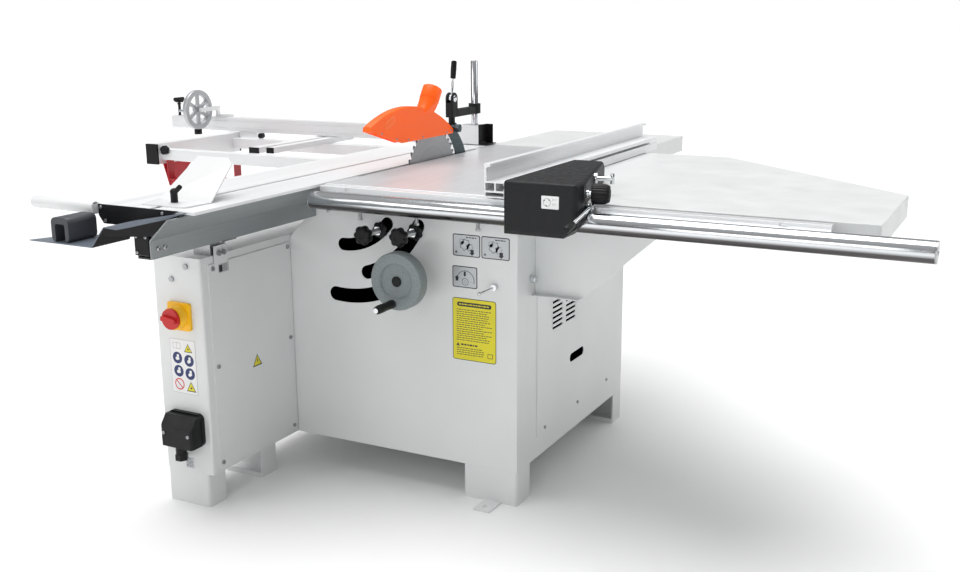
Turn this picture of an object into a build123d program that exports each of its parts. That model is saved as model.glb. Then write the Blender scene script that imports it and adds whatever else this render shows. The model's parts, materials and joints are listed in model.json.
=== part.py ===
from build123d import *
from math import cos, hypot, pi, radians, sin, tan
import os

# Sliding-table panel saw, millimetres, +Z up.
# Machine axes used below: X = 0 is the cabinet's right side, Y = 0 its front panel, Z = 0 the floor.
# +X runs to the right along the rip-fence rail, +Y is the feed direction, away from the operator.
# Every shape is moved by ROW_SHIFT when it is written, so that the origin of the part is the
# bottom centre of its bounding box.

# ---- driving dimensions -------------------------------------------------------------------
TABLE_Z = 870.0            # working height of every table top
CABINET_L = -730.0         # left side of the main cabinet
CABINET_DEPTH = 795.0
FOOT_H = 98.0
SHEET = 3.0                # cabinet sheet thickness
BOX_L = -894.0             # support box under the sliding table
BOX_FRONT = -385.0
BOX_TOP = 701.0
GLAND_R = 9.0              # cable gland opening

TABLE_L, TABLE_R = -548.0, -35.0       # cast-iron table
TABLE_FRONT, TABLE_BACK = -70.0, 945.0
REAR_EXT_BACK = 1490.0
RIGHT_EXT_R = 903.0
EXT_H = 55.0

RAIL_Y, RAIL_Z, RAIL_R = -120.0, 832.0, 25.0
RAIL_L, RAIL_END = -555.0, 1022.0
SCALE_FRONT, SCALE_END = -95.0, 804.0

BLADE_X = -540.0           # blade plane; the tilt axis is this plane's line on the table top
BLADE_Y = 500.0
BLADE_R = 157.5
BLADE_RISE = 100.0         # height of the raised blade above the table
ARBOR_Z = TABLE_Z + BLADE_RISE - BLADE_R
TILT_MAX = 45.0
PLATE_R = BLADE_X + 60.0   # inner face of the tilting plate
WEB_FRONT, WEB_BACK = 109.0, 745.0     # outer faces of the two tilting end webs
TRUNNION_T = 14.0
GUIDE_R = 129.7            # fixed trunnion guide
TRUNNION_R0, TRUNNION_R1 = 130.0, 155.0
STUD_1 = (179.0, -47.0)    # lock studs and handwheel shaft: radius and angle about the tilt axis
STUD_2 = (266.0, -28.5)
WHEEL_SHAFT = (341.0, -44.8)
CRANK = (-8.0, -59.0)       # crank pin, from the handwheel's centre
ROD_X, ROD_YS = BLADE_X + 100.0, (300.0, 700.0)
MOTOR_DROP = 190.0
BELT_X0, BELT_X1 = -416.0, -398.0

SLIDER_L, SLIDER_R = -857.0, -555.0
SLIDER_FRONT, SLIDER_BACK = -590.0, 1008.0
SLIDER_BODY_Z = 822.0
BEAM_L, BEAM_R = -732.0, -645.0
BEAM_Z0, BEAM_Z1 = 745.0, 800.0
BEAM_FRONT, BEAM_BACK = -600.0, 1100.0
COVER_FRONT = -657.0

OUT_L = -1692.0            # outrigger frame beside the sliding table
OUT_FRONT, OUT_BACK = 457.0, 905.0
ARM_X, ARM_Y, ARM_LEN = -850.0, 540.0, 770.0
ARM_Z0, ARM_Z1 = 706.0, 726.0

CROSS_Y0, CROSS_Y1 = 908.0, 952.0      # crosscut fence
CROSS_Z0, CROSS_Z1 = 872.5, 925.0
CROSS_L, CROSS_R = -1789.0, -660.0
CROSS_EXT_L = -1983.0
CROSS_PIVOT = (-640.0, 930.0)
END_PLATE = -584.0         # right end of the fence's aluminium block
COLUMN_X, COLUMN_TOP = -613.0, 1158.0
HOLD_Y, HOLD_Z = 765.0, 1040.0         # eccentric pin of the hold-down
DISC_X, DISC_Y, DISC_Z, DISC_R = -1768.0, 822.0, 959.0, 75.0

RIP_FRONT, RIP_BACK = -110.0, 1040.0
RIP_L, RIP_R = -40.0, 18.0
CAST_L, CAST_FRONT = 45.0, -180.0      # rip-fence casting
CAST_Z0, CAST_Z1 = 798.0, 930.0

HOSE_PORT_R = 31.0         # guard dust port, outside
GUARD_HALF = 14.0          # half the width of the blade guard
PLATE_FRONT = -716.0       # front edge of the operator plate, the machine's foremost line
RUN = 0.05                 # radial running clearance of a shaft
ROW_SHIFT = Location((-(CROSS_EXT_L + RAIL_END + 6.0) / 2, -(PLATE_FRONT + REAR_EXT_BACK) / 2, 0))


# ---- small helpers ------------------------------------------------------------------------
def block(x0, x1, y0, y1, z0, z1):
    return Pos((x0 + x1) / 2, (y0 + y1) / 2, (z0 + z1) / 2) * Box(abs(x1 - x0), abs(y1 - y0), abs(z1 - z0))


def frame_for(start, axis):
    return Plane(origin=start, z_dir=axis)


def rod(start, axis, length, radius):
    """Cylinder that begins at start and runs along axis."""
    return frame_for(start, axis) * Cylinder(radius, length, align=(Align.CENTER, Align.CENTER, Align.MIN))


def tube(start, axis, length, radius, wall):
    return rod(start, axis, length, radius) - rod(start, axis, length, radius - wall)


def bar(p, q, radius):
    """Round bar from p to q."""
    p, q = Vector(*p), Vector(*q)
    return rod(p, q - p, (q - p).length, radius)


def flat(points):
    return make_face(Polyline(*points, close=True))


def prism_x(yz, x0, x1):
    return extrude(flat([(x0, y, z) for y, z in yz]), amount=x1 - x0, dir=(1, 0, 0))


def prism_y(xz, y0, y1):
    return extrude(flat([(x, y0, z) for x, z in xz]), amount=y1 - y0, dir=(0, 1, 0))


def prism_z(xy, z0, z1):
    return extrude(flat([(x, y, z0) for x, y in xy]), amount=z1 - z0, dir=(0, 0, 1))


def about_tilt(radius, angle):
    """Point at a radius and angle about the tilt axis, as (x, z)."""
    return BLADE_X + radius * cos(radians(angle)), TABLE_Z + radius * sin(radians(angle))


def arc_plate(r0, r1, a0, a1, y0, y1):
    """Ring segment about the tilt axis, from angle a0 to a1, between two Y planes."""
    def at(radius, angle):
        x, z = about_tilt(radius, angle)
        return (x, y0, z)
    mid = (a0 + a1) / 2
    edges = [
        ThreePointArc(at(r1, a0), at(r1, mid), at(r1, a1)),
        Line(at(r1, a1), at(r0, a1)),
        ThreePointArc(at(r0, a1), at(r0, mid), at(r0, a0)),
        Line(at(r0, a0), at(r1, a0)),
    ]
    return extrude(make_face(edges), amount=y1 - y0, dir=(0, 1, 0))


def arc_slot(radius, width, a0, a1, y0, y1):
    """Round-ended slot that follows a circle about the tilt axis."""
    cut = arc_plate(radius - width / 2, radius + width / 2, a0, a1, y0, y1)
    for angle in (a0, a1):
        x, z = about_tilt(radius, angle)
        cut += rod((x, y0, z), (0, 1, 0), y1 - y0, width / 2)
    return cut


def oval_x(y, z, length, height, x0, x1):
    """Round-ended slot cutter through an X wall, long along Y."""
    half = (length - height) / 2
    cut = block(x0, x1, y - half, y + half, z - height / 2, z + height / 2)
    return cut + [rod((x0, y + s * half, z), (1, 0, 0), x1 - x0, height / 2) for s in (-1, 1)]


def rect_tube(x0, x1, y0, y1, z0, z1, along, wall=3.0):
    """Rectangular tube, open at both ends along one axis."""
    gap = {"x": (0, wall, wall), "y": (wall, 0, wall)}[along]
    inner = block(x0 + gap[0], x1 - gap[0], y0 + gap[1], y1 - gap[1], z0 + gap[2], z1 - gap[2])
    return block(x0, x1, y0, y1, z0, z1) - inner


def star_knob(start, axis, radius, depth, lobes=7):
    """Lobed hand knob with a short neck."""
    body = rod(start, axis, depth, radius)
    plane = frame_for(start, axis)
    for i in range(lobes):
        a = 2 * pi * i / lobes
        groove = Cylinder(radius * 0.24, depth, align=(Align.CENTER, Align.CENTER, Align.MIN))
        body -= plane * Pos(radius * 1.10 * cos(a), radius * 1.10 * sin(a), 0) * groove
    return body


def pan_head(start, axis, radius=6.0, depth=3.5):
    """Screw head with a hexagonal socket."""
    head = rod(start, axis, depth, radius)
    socket = extrude(RegularPolygon(radius * 0.45, 6), amount=depth * 0.6)
    lift = Vector(*axis).normalized() * (depth * 0.4)
    return head - frame_for(Vector(*start) + lift, axis) * socket


def hex_head(start, axis, radius=9.0, depth=6.0):
    return frame_for(start, axis) * extrude(RegularPolygon(radius, 6), amount=depth)


def soft_box(x0, x1, y0, y1, z0, z1, radius, axis):
    """Box whose edges along one axis are rounded."""
    body = block(x0, x1, y0, y1, z0, z1)
    return fillet(body.edges().filter_by(axis), radius)


# ---- cabinet ------------------------------------------------------------------------------
def cabinet_shell():
    outline = [(CABINET_L, FOOT_H), (0, FOOT_H), (0, 830), (-595, 830), (CABINET_L, 693)]
    inside = [(CABINET_L + SHEET, FOOT_H + SHEET), (-SHEET, FOOT_H + SHEET), (-SHEET, 840),
              (-581, 840), (CABINET_L + SHEET, 691.5)]
    shell = prism_y(outline, 0, CABINET_DEPTH) - prism_y(inside, SHEET, CABINET_DEPTH - SHEET)
    shell -= block(CABINET_L - 1, -590, 90, 770, BOX_TOP, 840)
    shell -= block(-SHEET - 1, 1, 140, 770, 190, 800)
    for radius, width, low, high in ((STUD_1[0] + 3, 36, -91, -38), (STUD_2[0], 38, -74, -24.5),
                                     (WHEEL_SHAFT[0] - 11, 41, -96, -45.2)):
        shell -= arc_slot(radius, width, low, high, -1, SHEET + 1)
    # notch for the beam and its cover, then the holes of the lever, the latch and the dust outlet
    notch = [(-800, BEAM_Z0 - 0.5), (-688.5, BEAM_Z0 - 0.5), (-671, 761.5), (-633.5, 761.5), (-633.5, 805.5),
             (-575, 860), (-575, 900), (-800, 900)]
    shell -= prism_y(notch, -1, CABINET_DEPTH + 1)
    shell -= rod((-64, -1, 615), (0, 1, 0), SHEET + 2, 4 + RUN)
    shell -= rod((-SHEET - 1, 84, 626), (1, 0, 0), SHEET + 2, 6)
    return shell - rod((-365, CABINET_DEPTH - SHEET - 1, 260), (0, 1, 0), SHEET + 2, 57)


def side_cover():
    cover = block(0, 2.5, 125, 790, 160, 815)
    for column in (262, 356):
        for row in range(7):
            cover -= oval_x(column, 451 + 15 * row, 70, 7, -1, 4)
    return cover - oval_x(408, 327, 106, 26, -1, 4)


def support_box():
    box = block(BOX_L, CABINET_L - 0.2, BOX_FRONT, CABINET_DEPTH, FOOT_H, BOX_TOP)
    box = fillet(box.edges().filter_by(Axis.Z).group_by(Axis.Y)[0], 6)
    box -= block(BOX_L + SHEET, CABINET_L - 0.2 - SHEET, BOX_FRONT + SHEET, CABINET_DEPTH - SHEET,
                 FOOT_H + SHEET, BOX_TOP - SHEET)
    return box - block(CABINET_L - 10, CABINET_L + 1, -340, -25, 130, 660)


def electrical_cover():
    x0 = CABINET_L - 0.2
    cover = fillet(block(x0, x0 + 2.5, -358, -6, 106, 680).edges().filter_by(Axis.X), 5)
    return cover + block(x0 + 2.5, x0 + 5, -334, -284, 676, 726)


def base_fasteners():
    cover_x = CABINET_L + 2.3
    heads = [pan_head((cover_x, y, z), (1, 0, 0)) for y, z in
             ((-341, 667), (-18, 667), (-341, 397), (-22, 397), (-345, 124), (-22, 124))]
    heads += [pan_head((2.5, y, 174), (1, 0, 0), 5) for y in (176, 416, 654)]
    heads += [hex_head((x, BOX_FRONT, z), (0, -1, 0), 8, 6) for x, z in ((-830, 639), (-779, 677))]
    heads += [hex_head((CABINET_L + 4.8, y, 706), (1, 0, 0), 8, 6) for y in (-318, -299)]
    # table levelling lugs with their bolts, between the front skirt and the cabinet
    for x in (-479, -300, -114):
        lug = block(x - 22, x + 22, -57.5, -0.5, 799, 805) + block(x - 4, x + 4, -57.5, -0.5, 805, 829.5)
        heads += [lug, rod((x + 15, -30, 774), (0, 0, 1), 24.9, 5), hex_head((x + 15, -30, 768), (0, 0, 1), 8, 6)]
    # rail end cap, its screw, and the bolts that hold the rail
    cap = rod((RAIL_END, RAIL_Y, RAIL_Z), (1, 0, 0), 4, RAIL_R)
    heads.append(cap + rod((RAIL_END + 4, RAIL_Y, RAIL_Z), (1, 0, 0), 2, 6))
    heads.append(rod((RAIL_L - 4, RAIL_Y, RAIL_Z), (1, 0, 0), 4, RAIL_R))
    heads += [hex_head((x, RAIL_Y, RAIL_Z - RAIL_R - 6.0), (0, 0, 1), 7, 5.5) for x in (-505,)]
    return Part() + heads


def machine_feet():
    def folded_foot(x0, x1, y0, y1):
        foot = block(x0, x1, y0, y1, 0, FOOT_H)
        foot = fillet(foot.edges().filter_by(Axis.Z), 8)
        return foot - block(x0 + 4, x1 - 4, y0 + 4, y1 - 4, -1, FOOT_H - 4)

    def channel_foot(x0, x1, y0, y1):
        channel = block(x0, x1, y0, y1, 0, FOOT_H) - block(x0 - 1, x1 - 5, y0 - 1, y1 - 5, 5, FOOT_H - 5)
        return channel + block(x0, x1 - 5, y0, y0 + 4, 5, 14)

    tab = block(-98, -48, -72, 2, 0, 5) - rod((-74, -46, -1), (0, 0, 1), 7, 7)
    front_right = folded_foot(-164, 0, 0, 90) + tab
    return Part() + [
        front_right,
        folded_foot(-892, -749, BOX_FRONT, -311),
        channel_foot(-885, -751, -154, -87),
        channel_foot(-164, 0, 729, CABINET_DEPTH),
        folded_foot(-892, -749, 729, CABINET_DEPTH),
    ]


def dust_port():
    """Round outlet of the cabinet's dust hopper, for a 120 mm hose."""
    flange = rod((-365, CABINET_DEPTH, 260), (0, 1, 0), 3, 78)
    pipe = rod((-365, CABINET_DEPTH, 260), (0, 1, 0), 60, 60)
    return flange + pipe - rod((-365, CABINET_DEPTH - 1, 260), (0, 1, 0), 62, 57)


# ---- tables -------------------------------------------------------------------------------
def cast_iron_table():
    top = block(TABLE_L, TABLE_R, TABLE_FRONT, TABLE_BACK, TABLE_Z - 14, TABLE_Z)
    top = chamfer(top.edges().group_by(Axis.Z)[-1], 1.5)
    skirts = [
        block(TABLE_L, TABLE_R, TABLE_FRONT, TABLE_FRONT + 12, 830, TABLE_Z - 14),
        block(TABLE_L, TABLE_R, TABLE_BACK - 12, TABLE_BACK, 830, TABLE_Z - 14),
        block(TABLE_R - 12, TABLE_R, TABLE_FRONT, TABLE_BACK, 830, TABLE_Z - 14),
        block(TABLE_L, TABLE_L + 12, TABLE_FRONT, 50, 830, TABLE_Z - 14),
        block(TABLE_L, TABLE_L + 12, 830, TABLE_BACK, 830, TABLE_Z - 14),
    ]
    ribs = [block(-500, TABLE_R - 12, y - 4, y + 4, 838, TABLE_Z - 14) for y in (30, 250, 660, 860)]
    table = top + skirts + ribs
    return table - block(TABLE_L - 1, BLADE_X + 6, 81, 800, 825, TABLE_Z + 1)


def rear_extension():
    slab = block(TABLE_L - 5, TABLE_R, TABLE_BACK + 0.3, REAR_EXT_BACK, TABLE_Z - EXT_H, TABLE_Z)
    slab = fillet(slab.edges().group_by(Axis.Z)[-1], 2)
    return slab - block(TABLE_L - 2, TABLE_R - 3, TABLE_BACK + 3.3, REAR_EXT_BACK - 3, 0, TABLE_Z - 3)


def right_extension():
    outline = [(TABLE_R + 0.3, -60), (RIGHT_EXT_R, -60), (RIGHT_EXT_R - 3, 391), (292, TABLE_BACK),
               (TABLE_R + 0.3, TABLE_BACK)]
    inside = [(TABLE_R - 1, -57), (RIGHT_EXT_R - 3, -57), (RIGHT_EXT_R - 6, 389.5), (290.7, TABLE_BACK - 3),
              (TABLE_R - 1, TABLE_BACK - 3)]
    slab = prism_z(outline, TABLE_Z - EXT_H, TABLE_Z)
    slab = fillet(slab.edges().group_by(Axis.Z)[-1], 2)
    return slab - prism_z(inside, 0, TABLE_Z - 3)


def extension_brackets():
    under = TABLE_Z - EXT_H
    web = [(0.2, under), (0.2, 577), (135, 577), (400, under)]
    front = prism_y(web, 112, 115) + prism_y([(0.2, 577), (135, 577), (135, 580), (0.2, 580)], 90, 112)
    rear_web = [(2.7, under), (2.7, 640), (90, 640), (260, under)]
    return Part() + [front, prism_y(rear_web, 776, 779)]


def fence_scale_profile():
    bar_body = block(TABLE_L - 1, SCALE_END, SCALE_FRONT, TABLE_FRONT, 803, 867)
    bar_body -= block(TABLE_L - 2, SCALE_END + 1, SCALE_FRONT + 4, TABLE_FRONT - 4, 815, 855)
    for x in (-459, 700):
        bar_body -= block(x - 9, x + 9, SCALE_FRONT - 1, SCALE_FRONT + 5, 856, 864)
    return bar_body


def fence_rail():
    return tube((RAIL_L, RAIL_Y, RAIL_Z), (1, 0, 0), RAIL_END - RAIL_L, RAIL_R, 4)


# ---- beam that carries the sliding table --------------------------------------------------
def fixed_beam():
    """Box beam with a sloped underside that clears the tilted blade."""
    outer = [(BEAM_L, BEAM_Z0), (-689, BEAM_Z0), (BEAM_R, 789), (BEAM_R, BEAM_Z1), (BEAM_L, BEAM_Z1)]
    inner = [(BEAM_L + 5, BEAM_Z0 + 5), (-691, BEAM_Z0 + 5), (BEAM_R - 5, 791), (BEAM_R - 5, BEAM_Z1 - 5),
             (BEAM_L + 5, BEAM_Z1 - 5)]
    return prism_y(outer, BEAM_FRONT, BEAM_BACK) - prism_y(inner, BEAM_FRONT - 1, BEAM_BACK + 1)


def beam_cover():
    section = [(-577, 859), (-634, 806), (-634, 762), (-637, 762), (-637, 807.5), (-579.2, 861.2)]
    cover = prism_y(section, COVER_FRONT, BEAM_BACK + 10)
    return cover - block(-640, -630, 60, 800, 755, 803)


def beam_supports():
    """Angle brackets under the beam, and the swing arm's pivot post."""
    pads = []
    for y in (-340, 200, 700):
        pads.append(block(-790, CABINET_L - 3, y, y + 60, BOX_TOP, 741))
        pads.append(block(-790, -692, y, y + 60, 741, BEAM_Z0))
    post = block(ARM_X - 30, ARM_X + 30, ARM_Y - 30, ARM_Y + 30, BOX_TOP, BOX_TOP + 4)
    post += rod((ARM_X, ARM_Y, BOX_TOP + 4), (0, 0, 1), 26, 12) + rod((ARM_X, ARM_Y, ARM_Z1 + 0.5), (0, 0, 1), 6, 18)
    return Part() + pads + [post]


def beam_end_caps():
    front = block(BEAM_L + 2, -684, BEAM_FRONT - 12, BEAM_FRONT, BEAM_Z0 + 11, BEAM_Z1 + 11)
    front = chamfer(front.edges().group_by(Axis.Y)[0], 2)
    outline = [(BEAM_L, BEAM_Z0), (-689, BEAM_Z0), (BEAM_R, 789), (BEAM_R, BEAM_Z1), (BEAM_L, BEAM_Z1)]
    return Part() + [front, prism_y(outline, BEAM_BACK, BEAM_BACK + 12)]


# ---- electrical pieces on the support box -------------------------------------------------
def isolator_base():
    plate = soft_box(-846, -770, BOX_FRONT - 8, BOX_FRONT, 502, 578, 7, Axis.Y)
    drum = rod((-808, BOX_FRONT - 8, 540), (0, -1, 0), 26, 31)
    return plate + drum - rod((-808, BOX_FRONT - 22, 540), (0, -1, 0), 14, 4 + RUN)


def isolator_knob():
    front = BOX_FRONT - 34.2
    disc = rod((-808, front, 540), (0, -1, 0), 9, 28) + rod((-808, front, 540), (0, 1, 0), 11, 4)
    grip = soft_box(-832, -784, front - 19, front - 8, 533.5, 546.5, 4, Axis.Y)
    return disc + Pos(-808, 0, 540) * Rot(0, 8, 0) * Pos(808, 0, -540) * grip


def socket_housing():
    """Power inlet: flange on the box, sloping hood, and a cable gland below."""
    flange = soft_box(-866, -750, BOX_FRONT - 12, BOX_FRONT, 180, 272, 16, Axis.Y)
    front = BOX_FRONT
    side = [(front - 12, 184), (front - 54, 184), (front - 54, 236), (front - 30, 268), (front - 12, 268)]
    hood = prism_x(side, -860, -752)
    hood = fillet(hood.edges().filter_by(Axis.Z).group_by(Axis.Y)[0], 8)
    start = (-812, BOX_FRONT - 30, 184)
    gland = rod(start, (0, 0, -1), 26, 15) + hex_head((-812, BOX_FRONT - 30, 158), (0, 0, -1), 18, 16)
    return flange + hood + gland - rod((-812, BOX_FRONT - 30, 141), (0, 0, 1), 37, GLAND_R)


def label_plates():
    t = 0.6
    plates = [
        block(-854, -766, BOX_FRONT - t, BOX_FRONT, 322, 474),
        block(-826, -797, BOX_FRONT - t, BOX_FRONT, 106, 138),
        block(CABINET_L + 2.3, CABINET_L + 2.3 + t, -318, -276, 650, 675.5),
        prism_x([(-198, 356), (-158, 356), (-178, 390)], CABINET_L + 2.3, CABINET_L + 2.3 + t),
        block(-191, -109, -t, 0, 689, 749),
        block(-105, -22, -t, 0, 689, 749),
        block(-193, -118, -t, 0, 603, 662),
        block(-194, -62, -t, 0, 400, 574),
    ]
    return Part() + plates


def side_latch():
    """Quarter-turn latch of the side cover: knurled head, neck and cam behind the panel."""
    head = rod((0.3, 84, 626), (1, 0, 0), 16, 10)
    neck = rod((-SHEET - 6, 84, 626), (1, 0, 0), SHEET + 7, 5.9)
    cam = block(-SHEET - 9, -SHEET - 6, 78, 118, 620, 632)
    return head + neck + cam


def panel_lever():
    """Small bent lever on the front panel, with its pivot pin and ball end."""
    hub = rod((-64, -0.3, 615), (0, -1, 0), 12, 8)
    arm = bar((-64, -8, 615), (-93, -36, 601), 3.2)
    ball = Pos(-93, -36, 601) * Sphere(5.5)
    pin = rod((-64, -0.3, 615), (0, 1, 0), 9, 3.95)
    return hub + arm + ball + pin


# ---- tilting unit -------------------------------------------------------------------------
def trunnion_guides():
    guides = []
    for y0 in (WEB_FRONT - TRUNNION_T, WEB_BACK):
        sector = arc_plate(70, GUIDE_R, -128, -22, y0, y0 + TRUNNION_T)
        hanger = block(-478, -415, y0, y0 + TRUNNION_T, 815, TABLE_Z - 14)
        guides.append(sector + hanger)
    return Part() + guides


def tilt_frame():
    front_web = arc_plate(131, 365, -62, -25, WEB_FRONT, WEB_FRONT + 12)
    front_web += arc_plate(131, 250, -80, -61, WEB_FRONT, WEB_FRONT + 12)
    rear_web = arc_plate(131, 250, -80, -35, WEB_BACK - 12, WEB_BACK)
    trunnions = [arc_plate(TRUNNION_R0, TRUNNION_R1, -88, -32, y0, y0 + TRUNNION_T)
                 for y0 in (WEB_FRONT - TRUNNION_T, WEB_BACK)]
    web0, web1 = WEB_FRONT + 12, WEB_BACK - 12
    plate = block(PLATE_R, PLATE_R + 14, web0, web1, 640, 730)
    plate += [block(PLATE_R, PLATE_R + 14, y0, y1, 640, 800) for y0, y1 in ((270, 330), (670, web1))]
    frame = plate + front_web + rear_web + trunnions
    for y in ROD_YS:
        frame += [block(PLATE_R + 14, ROD_X + 15, y - 15, y + 15, z, z + 15) for z in (640, 785)]
        frame += rod((ROD_X, y, 640), (0, 0, 1), 160, 10)
    for radius, angle in (STUD_1, STUD_2, WHEEL_SHAFT):
        x, z = about_tilt(radius, angle)
        frame += rod((x, WEB_FRONT, z), (0, 1, 0), 30, 20)
        frame -= rod((x, WEB_FRONT - 1, z), (0, 1, 0), 40, 8 + RUN)
    return frame


def lock_knob(polar):
    """Clamping star knob with its stud, lock washer and collar."""
    x, z = about_tilt(*polar)
    washer = rod((x, -1, z), (0, -1, 0), 9, 24) - rod((x, -7, z), (0, -1, 0), 4, 17)
    collar = hex_head((x, -10, z), (0, -1, 0), 13, 9)
    stud = rod((x, -74, z), (0, 1, 0), 74 + WEB_FRONT + 28, 8)
    return washer + collar + stud + star_knob((x, -100, z), (0, 1, 0), 27, 27, 6)


def handwheel():
    """Dished handwheel on its shaft, which runs back to the tilting web."""
    x, z = about_tilt(*WHEEL_SHAFT)
    profile = [(8.5, 8), (47, 8), (51, 0), (74, 0), (78, 5), (78, 38), (72, 38), (72, 15), (20, 15),
               (18, 34), (8.5, 34)]
    wheel = revolve(flat([(r, 0, h) for r, h in profile]), Axis.Z)
    wheel = frame_for((x, -124, z), (0, 1, 0)) * wheel
    shaft = rod((x, -127, z), (0, 1, 0), 127 + WEB_FRONT + 28, 8)
    hub_plate = rod((x, -128, z), (0, 1, 0), 4, 15)
    stub_x, stub_z = x + CRANK[0], z + CRANK[1]
    stub = rod((stub_x, -207, stub_z), (0, 1, 0), 97, 4)
    return wheel + shaft + hub_plate + stub + rod((stub_x, -210, stub_z), (0, 1, 0), 3, 7)


def crank_grip():
    x, z = about_tilt(*WHEEL_SHAFT)
    plane = frame_for((x + CRANK[0], -126, z + CRANK[1]), (0, -1, 0))
    outline = Spline((9, 0, 0), (12, 0, 18), (11, 0, 46), (12, 0, 68), (9.5, 0, 80))
    section = make_face([outline, Line((9.5, 0, 80), (4 + RUN, 0, 80)), Line((4 + RUN, 0, 80), (4 + RUN, 0, 0)),
                         Line((4 + RUN, 0, 0), (9, 0, 0))])
    return plane * revolve(section, Axis.Z)


# ---- rising unit --------------------------------------------------------------------------
def rise_carriage():
    """Arbor housing, cross beam with two guide sleeves, and the motor's flange plate."""
    beam = block(ROD_X - 22, ROD_X + 22, ROD_YS[0], ROD_YS[1], 735, 775)
    sleeves = [rod((ROD_X, y, 728), (0, 0, 1), 52, 20) for y in ROD_YS]
    web = block(ROD_X - 22, ROD_X + 22, BLADE_Y - 40, BLADE_Y + 40, 770, 800)
    housing = rod((BLADE_X + 14, BLADE_Y, ARBOR_Z), (1, 0, 0), 108, 32)
    arms = [block(ROD_X + 20, BELT_X1 + 2, y, y + 30, 735, 775) for y in (395, 575)]
    flange = block(BELT_X1 + 2, BELT_X1 + 14, 395, 605, 560, 775)
    flange -= rod((BELT_X1 + 1, BLADE_Y, ARBOR_Z - MOTOR_DROP), (1, 0, 0), 14, 22)
    flange -= block(BELT_X1 + 1, BELT_X1 + 15, 430, 570, 715, 776)
    body = beam + sleeves + web + housing + arms + flange
    knife_arm = block(BLADE_X + 3, BLADE_X + 14, BLADE_Y + 34, BLADE_Y + 190, ARBOR_Z - 12, ARBOR_Z + 18)
    knife_foot = block(BLADE_X + 14, BLADE_X + 26, BLADE_Y + 20, BLADE_Y + 60, ARBOR_Z - 12, ARBOR_Z + 18)
    body += knife_arm + knife_foot
    body -= rod((BLADE_X, BLADE_Y, ARBOR_Z), (1, 0, 0), 140, 12.5 + RUN)
    for y in ROD_YS:
        body -= rod((ROD_X, y, 700), (0, 0, 1), 100, 10 + RUN)
    return body


def main_motor():
    z = ARBOR_Z - MOTOR_DROP
    start = BELT_X1 + 14
    can = rod((start, BLADE_Y, z), (1, 0, 0), 178, 72)
    fins = [block(start + 20, start + 150, BLADE_Y - 76 * s, BLADE_Y - 60 * s, z + dz, z + dz + 3)
            for s in (-1, 1) for dz in range(-21, 25, 9)]
    cover = rod((start + 178, BLADE_Y, z), (1, 0, 0), 16, 66)
    box = block(start + 40, start + 120, BLADE_Y - 40, BLADE_Y + 40, z + 60, z + 88)
    shaft_hole = rod((start - 1, BLADE_Y, z), (1, 0, 0), 60, 9 + RUN)
    return can + fins + cover + box - shaft_hole


def motor_pulley():
    z = ARBOR_Z - MOTOR_DROP
    pulley = rod((BELT_X0, BLADE_Y, z), (1, 0, 0), BELT_X1 - BELT_X0, 38)
    return pulley + rod((BELT_X0, BLADE_Y, z), (1, 0, 0), 60, 9)


def drive_belt():
    """Ribbed belt round the arbor and motor pulleys, a straight-sided loop."""
    z_low, z_high = ARBOR_Z - MOTOR_DROP, ARBOR_Z
    low_r, high_r = 38.3, 30.3

    def loop(extra, x0, x1):
        r0, r1 = low_r + extra, high_r + extra
        sides = prism_x([(BLADE_Y - r0, z_low), (BLADE_Y + r0, z_low), (BLADE_Y + r1, z_high), (BLADE_Y - r1, z_high)], x0, x1)
        return sides + rod((x0, BLADE_Y, z_low), (1, 0, 0), x1 - x0, r0) + rod((x0, BLADE_Y, z_high), (1, 0, 0), x1 - x0, r1)

    return loop(3.5, BELT_X0 + 1, BELT_X1 - 1) - loop(0, BELT_X0 - 1, BELT_X1 + 1)


def saw_arbor():
    shaft = rod((BLADE_X - 9, BLADE_Y, ARBOR_Z), (1, 0, 0), 9 + (BELT_X1 - BLADE_X), 12.5)
    inner_flange = rod((BLADE_X + 1.4, BLADE_Y, ARBOR_Z), (1, 0, 0), 9, 30)
    outer_flange = rod((BLADE_X - 1.4, BLADE_Y, ARBOR_Z), (-1, 0, 0), 6, 30)
    pulley = rod((BELT_X0, BLADE_Y, ARBOR_Z), (1, 0, 0), BELT_X1 - BELT_X0, 30)
    return shaft + inner_flange + outer_flange + pulley


def saw_blade():
    teeth = 40
    pitch = 2 * pi / teeth
    outline = []
    for i in range(teeth):
        a = i * pitch
        for radius, part_of in ((BLADE_R, 0.0), (BLADE_R - 4.0, 0.30), (BLADE_R - 13.0, 0.60), (BLADE_R - 10.0, 0.84)):
            t = a + part_of * pitch
            outline.append((BLADE_Y + radius * cos(t), ARBOR_Z + radius * sin(t)))
    return prism_x(outline, BLADE_X - 1.2, BLADE_X + 1.2) - rod((BLADE_X - 2, BLADE_Y, ARBOR_Z), (1, 0, 0), 4, 12.6)


def riving_knife():
    """Crescent plate behind the blade, with the guard's clamp knob on its right face."""
    x0, x1 = BLADE_X - 1.4, BLADE_X + 1.4
    inner = rod((x0, BLADE_Y, ARBOR_Z), (1, 0, 0), x1 - x0, BLADE_R + 7)
    outer = rod((x0, BLADE_Y + 20, TABLE_Z - 100), (1, 0, 0), x1 - x0, 225)
    window = prism_x([(BLADE_Y + 60, 790), (800, 790), (800, 915), (BLADE_Y + 84, 975), (BLADE_Y + 60, 975)], x0, x1)
    knife = (outer & window) - inner
    knob = rod((x1, 632, 957), (1, 0, 0), 30, 9)
    bolts = [hex_head((BLADE_X + 14, y, ARBOR_Z + 3), (1, 0, 0), 8, 6) for y in (BLADE_Y + 174,)]
    return Part() + [knife + knob] + bolts


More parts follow.
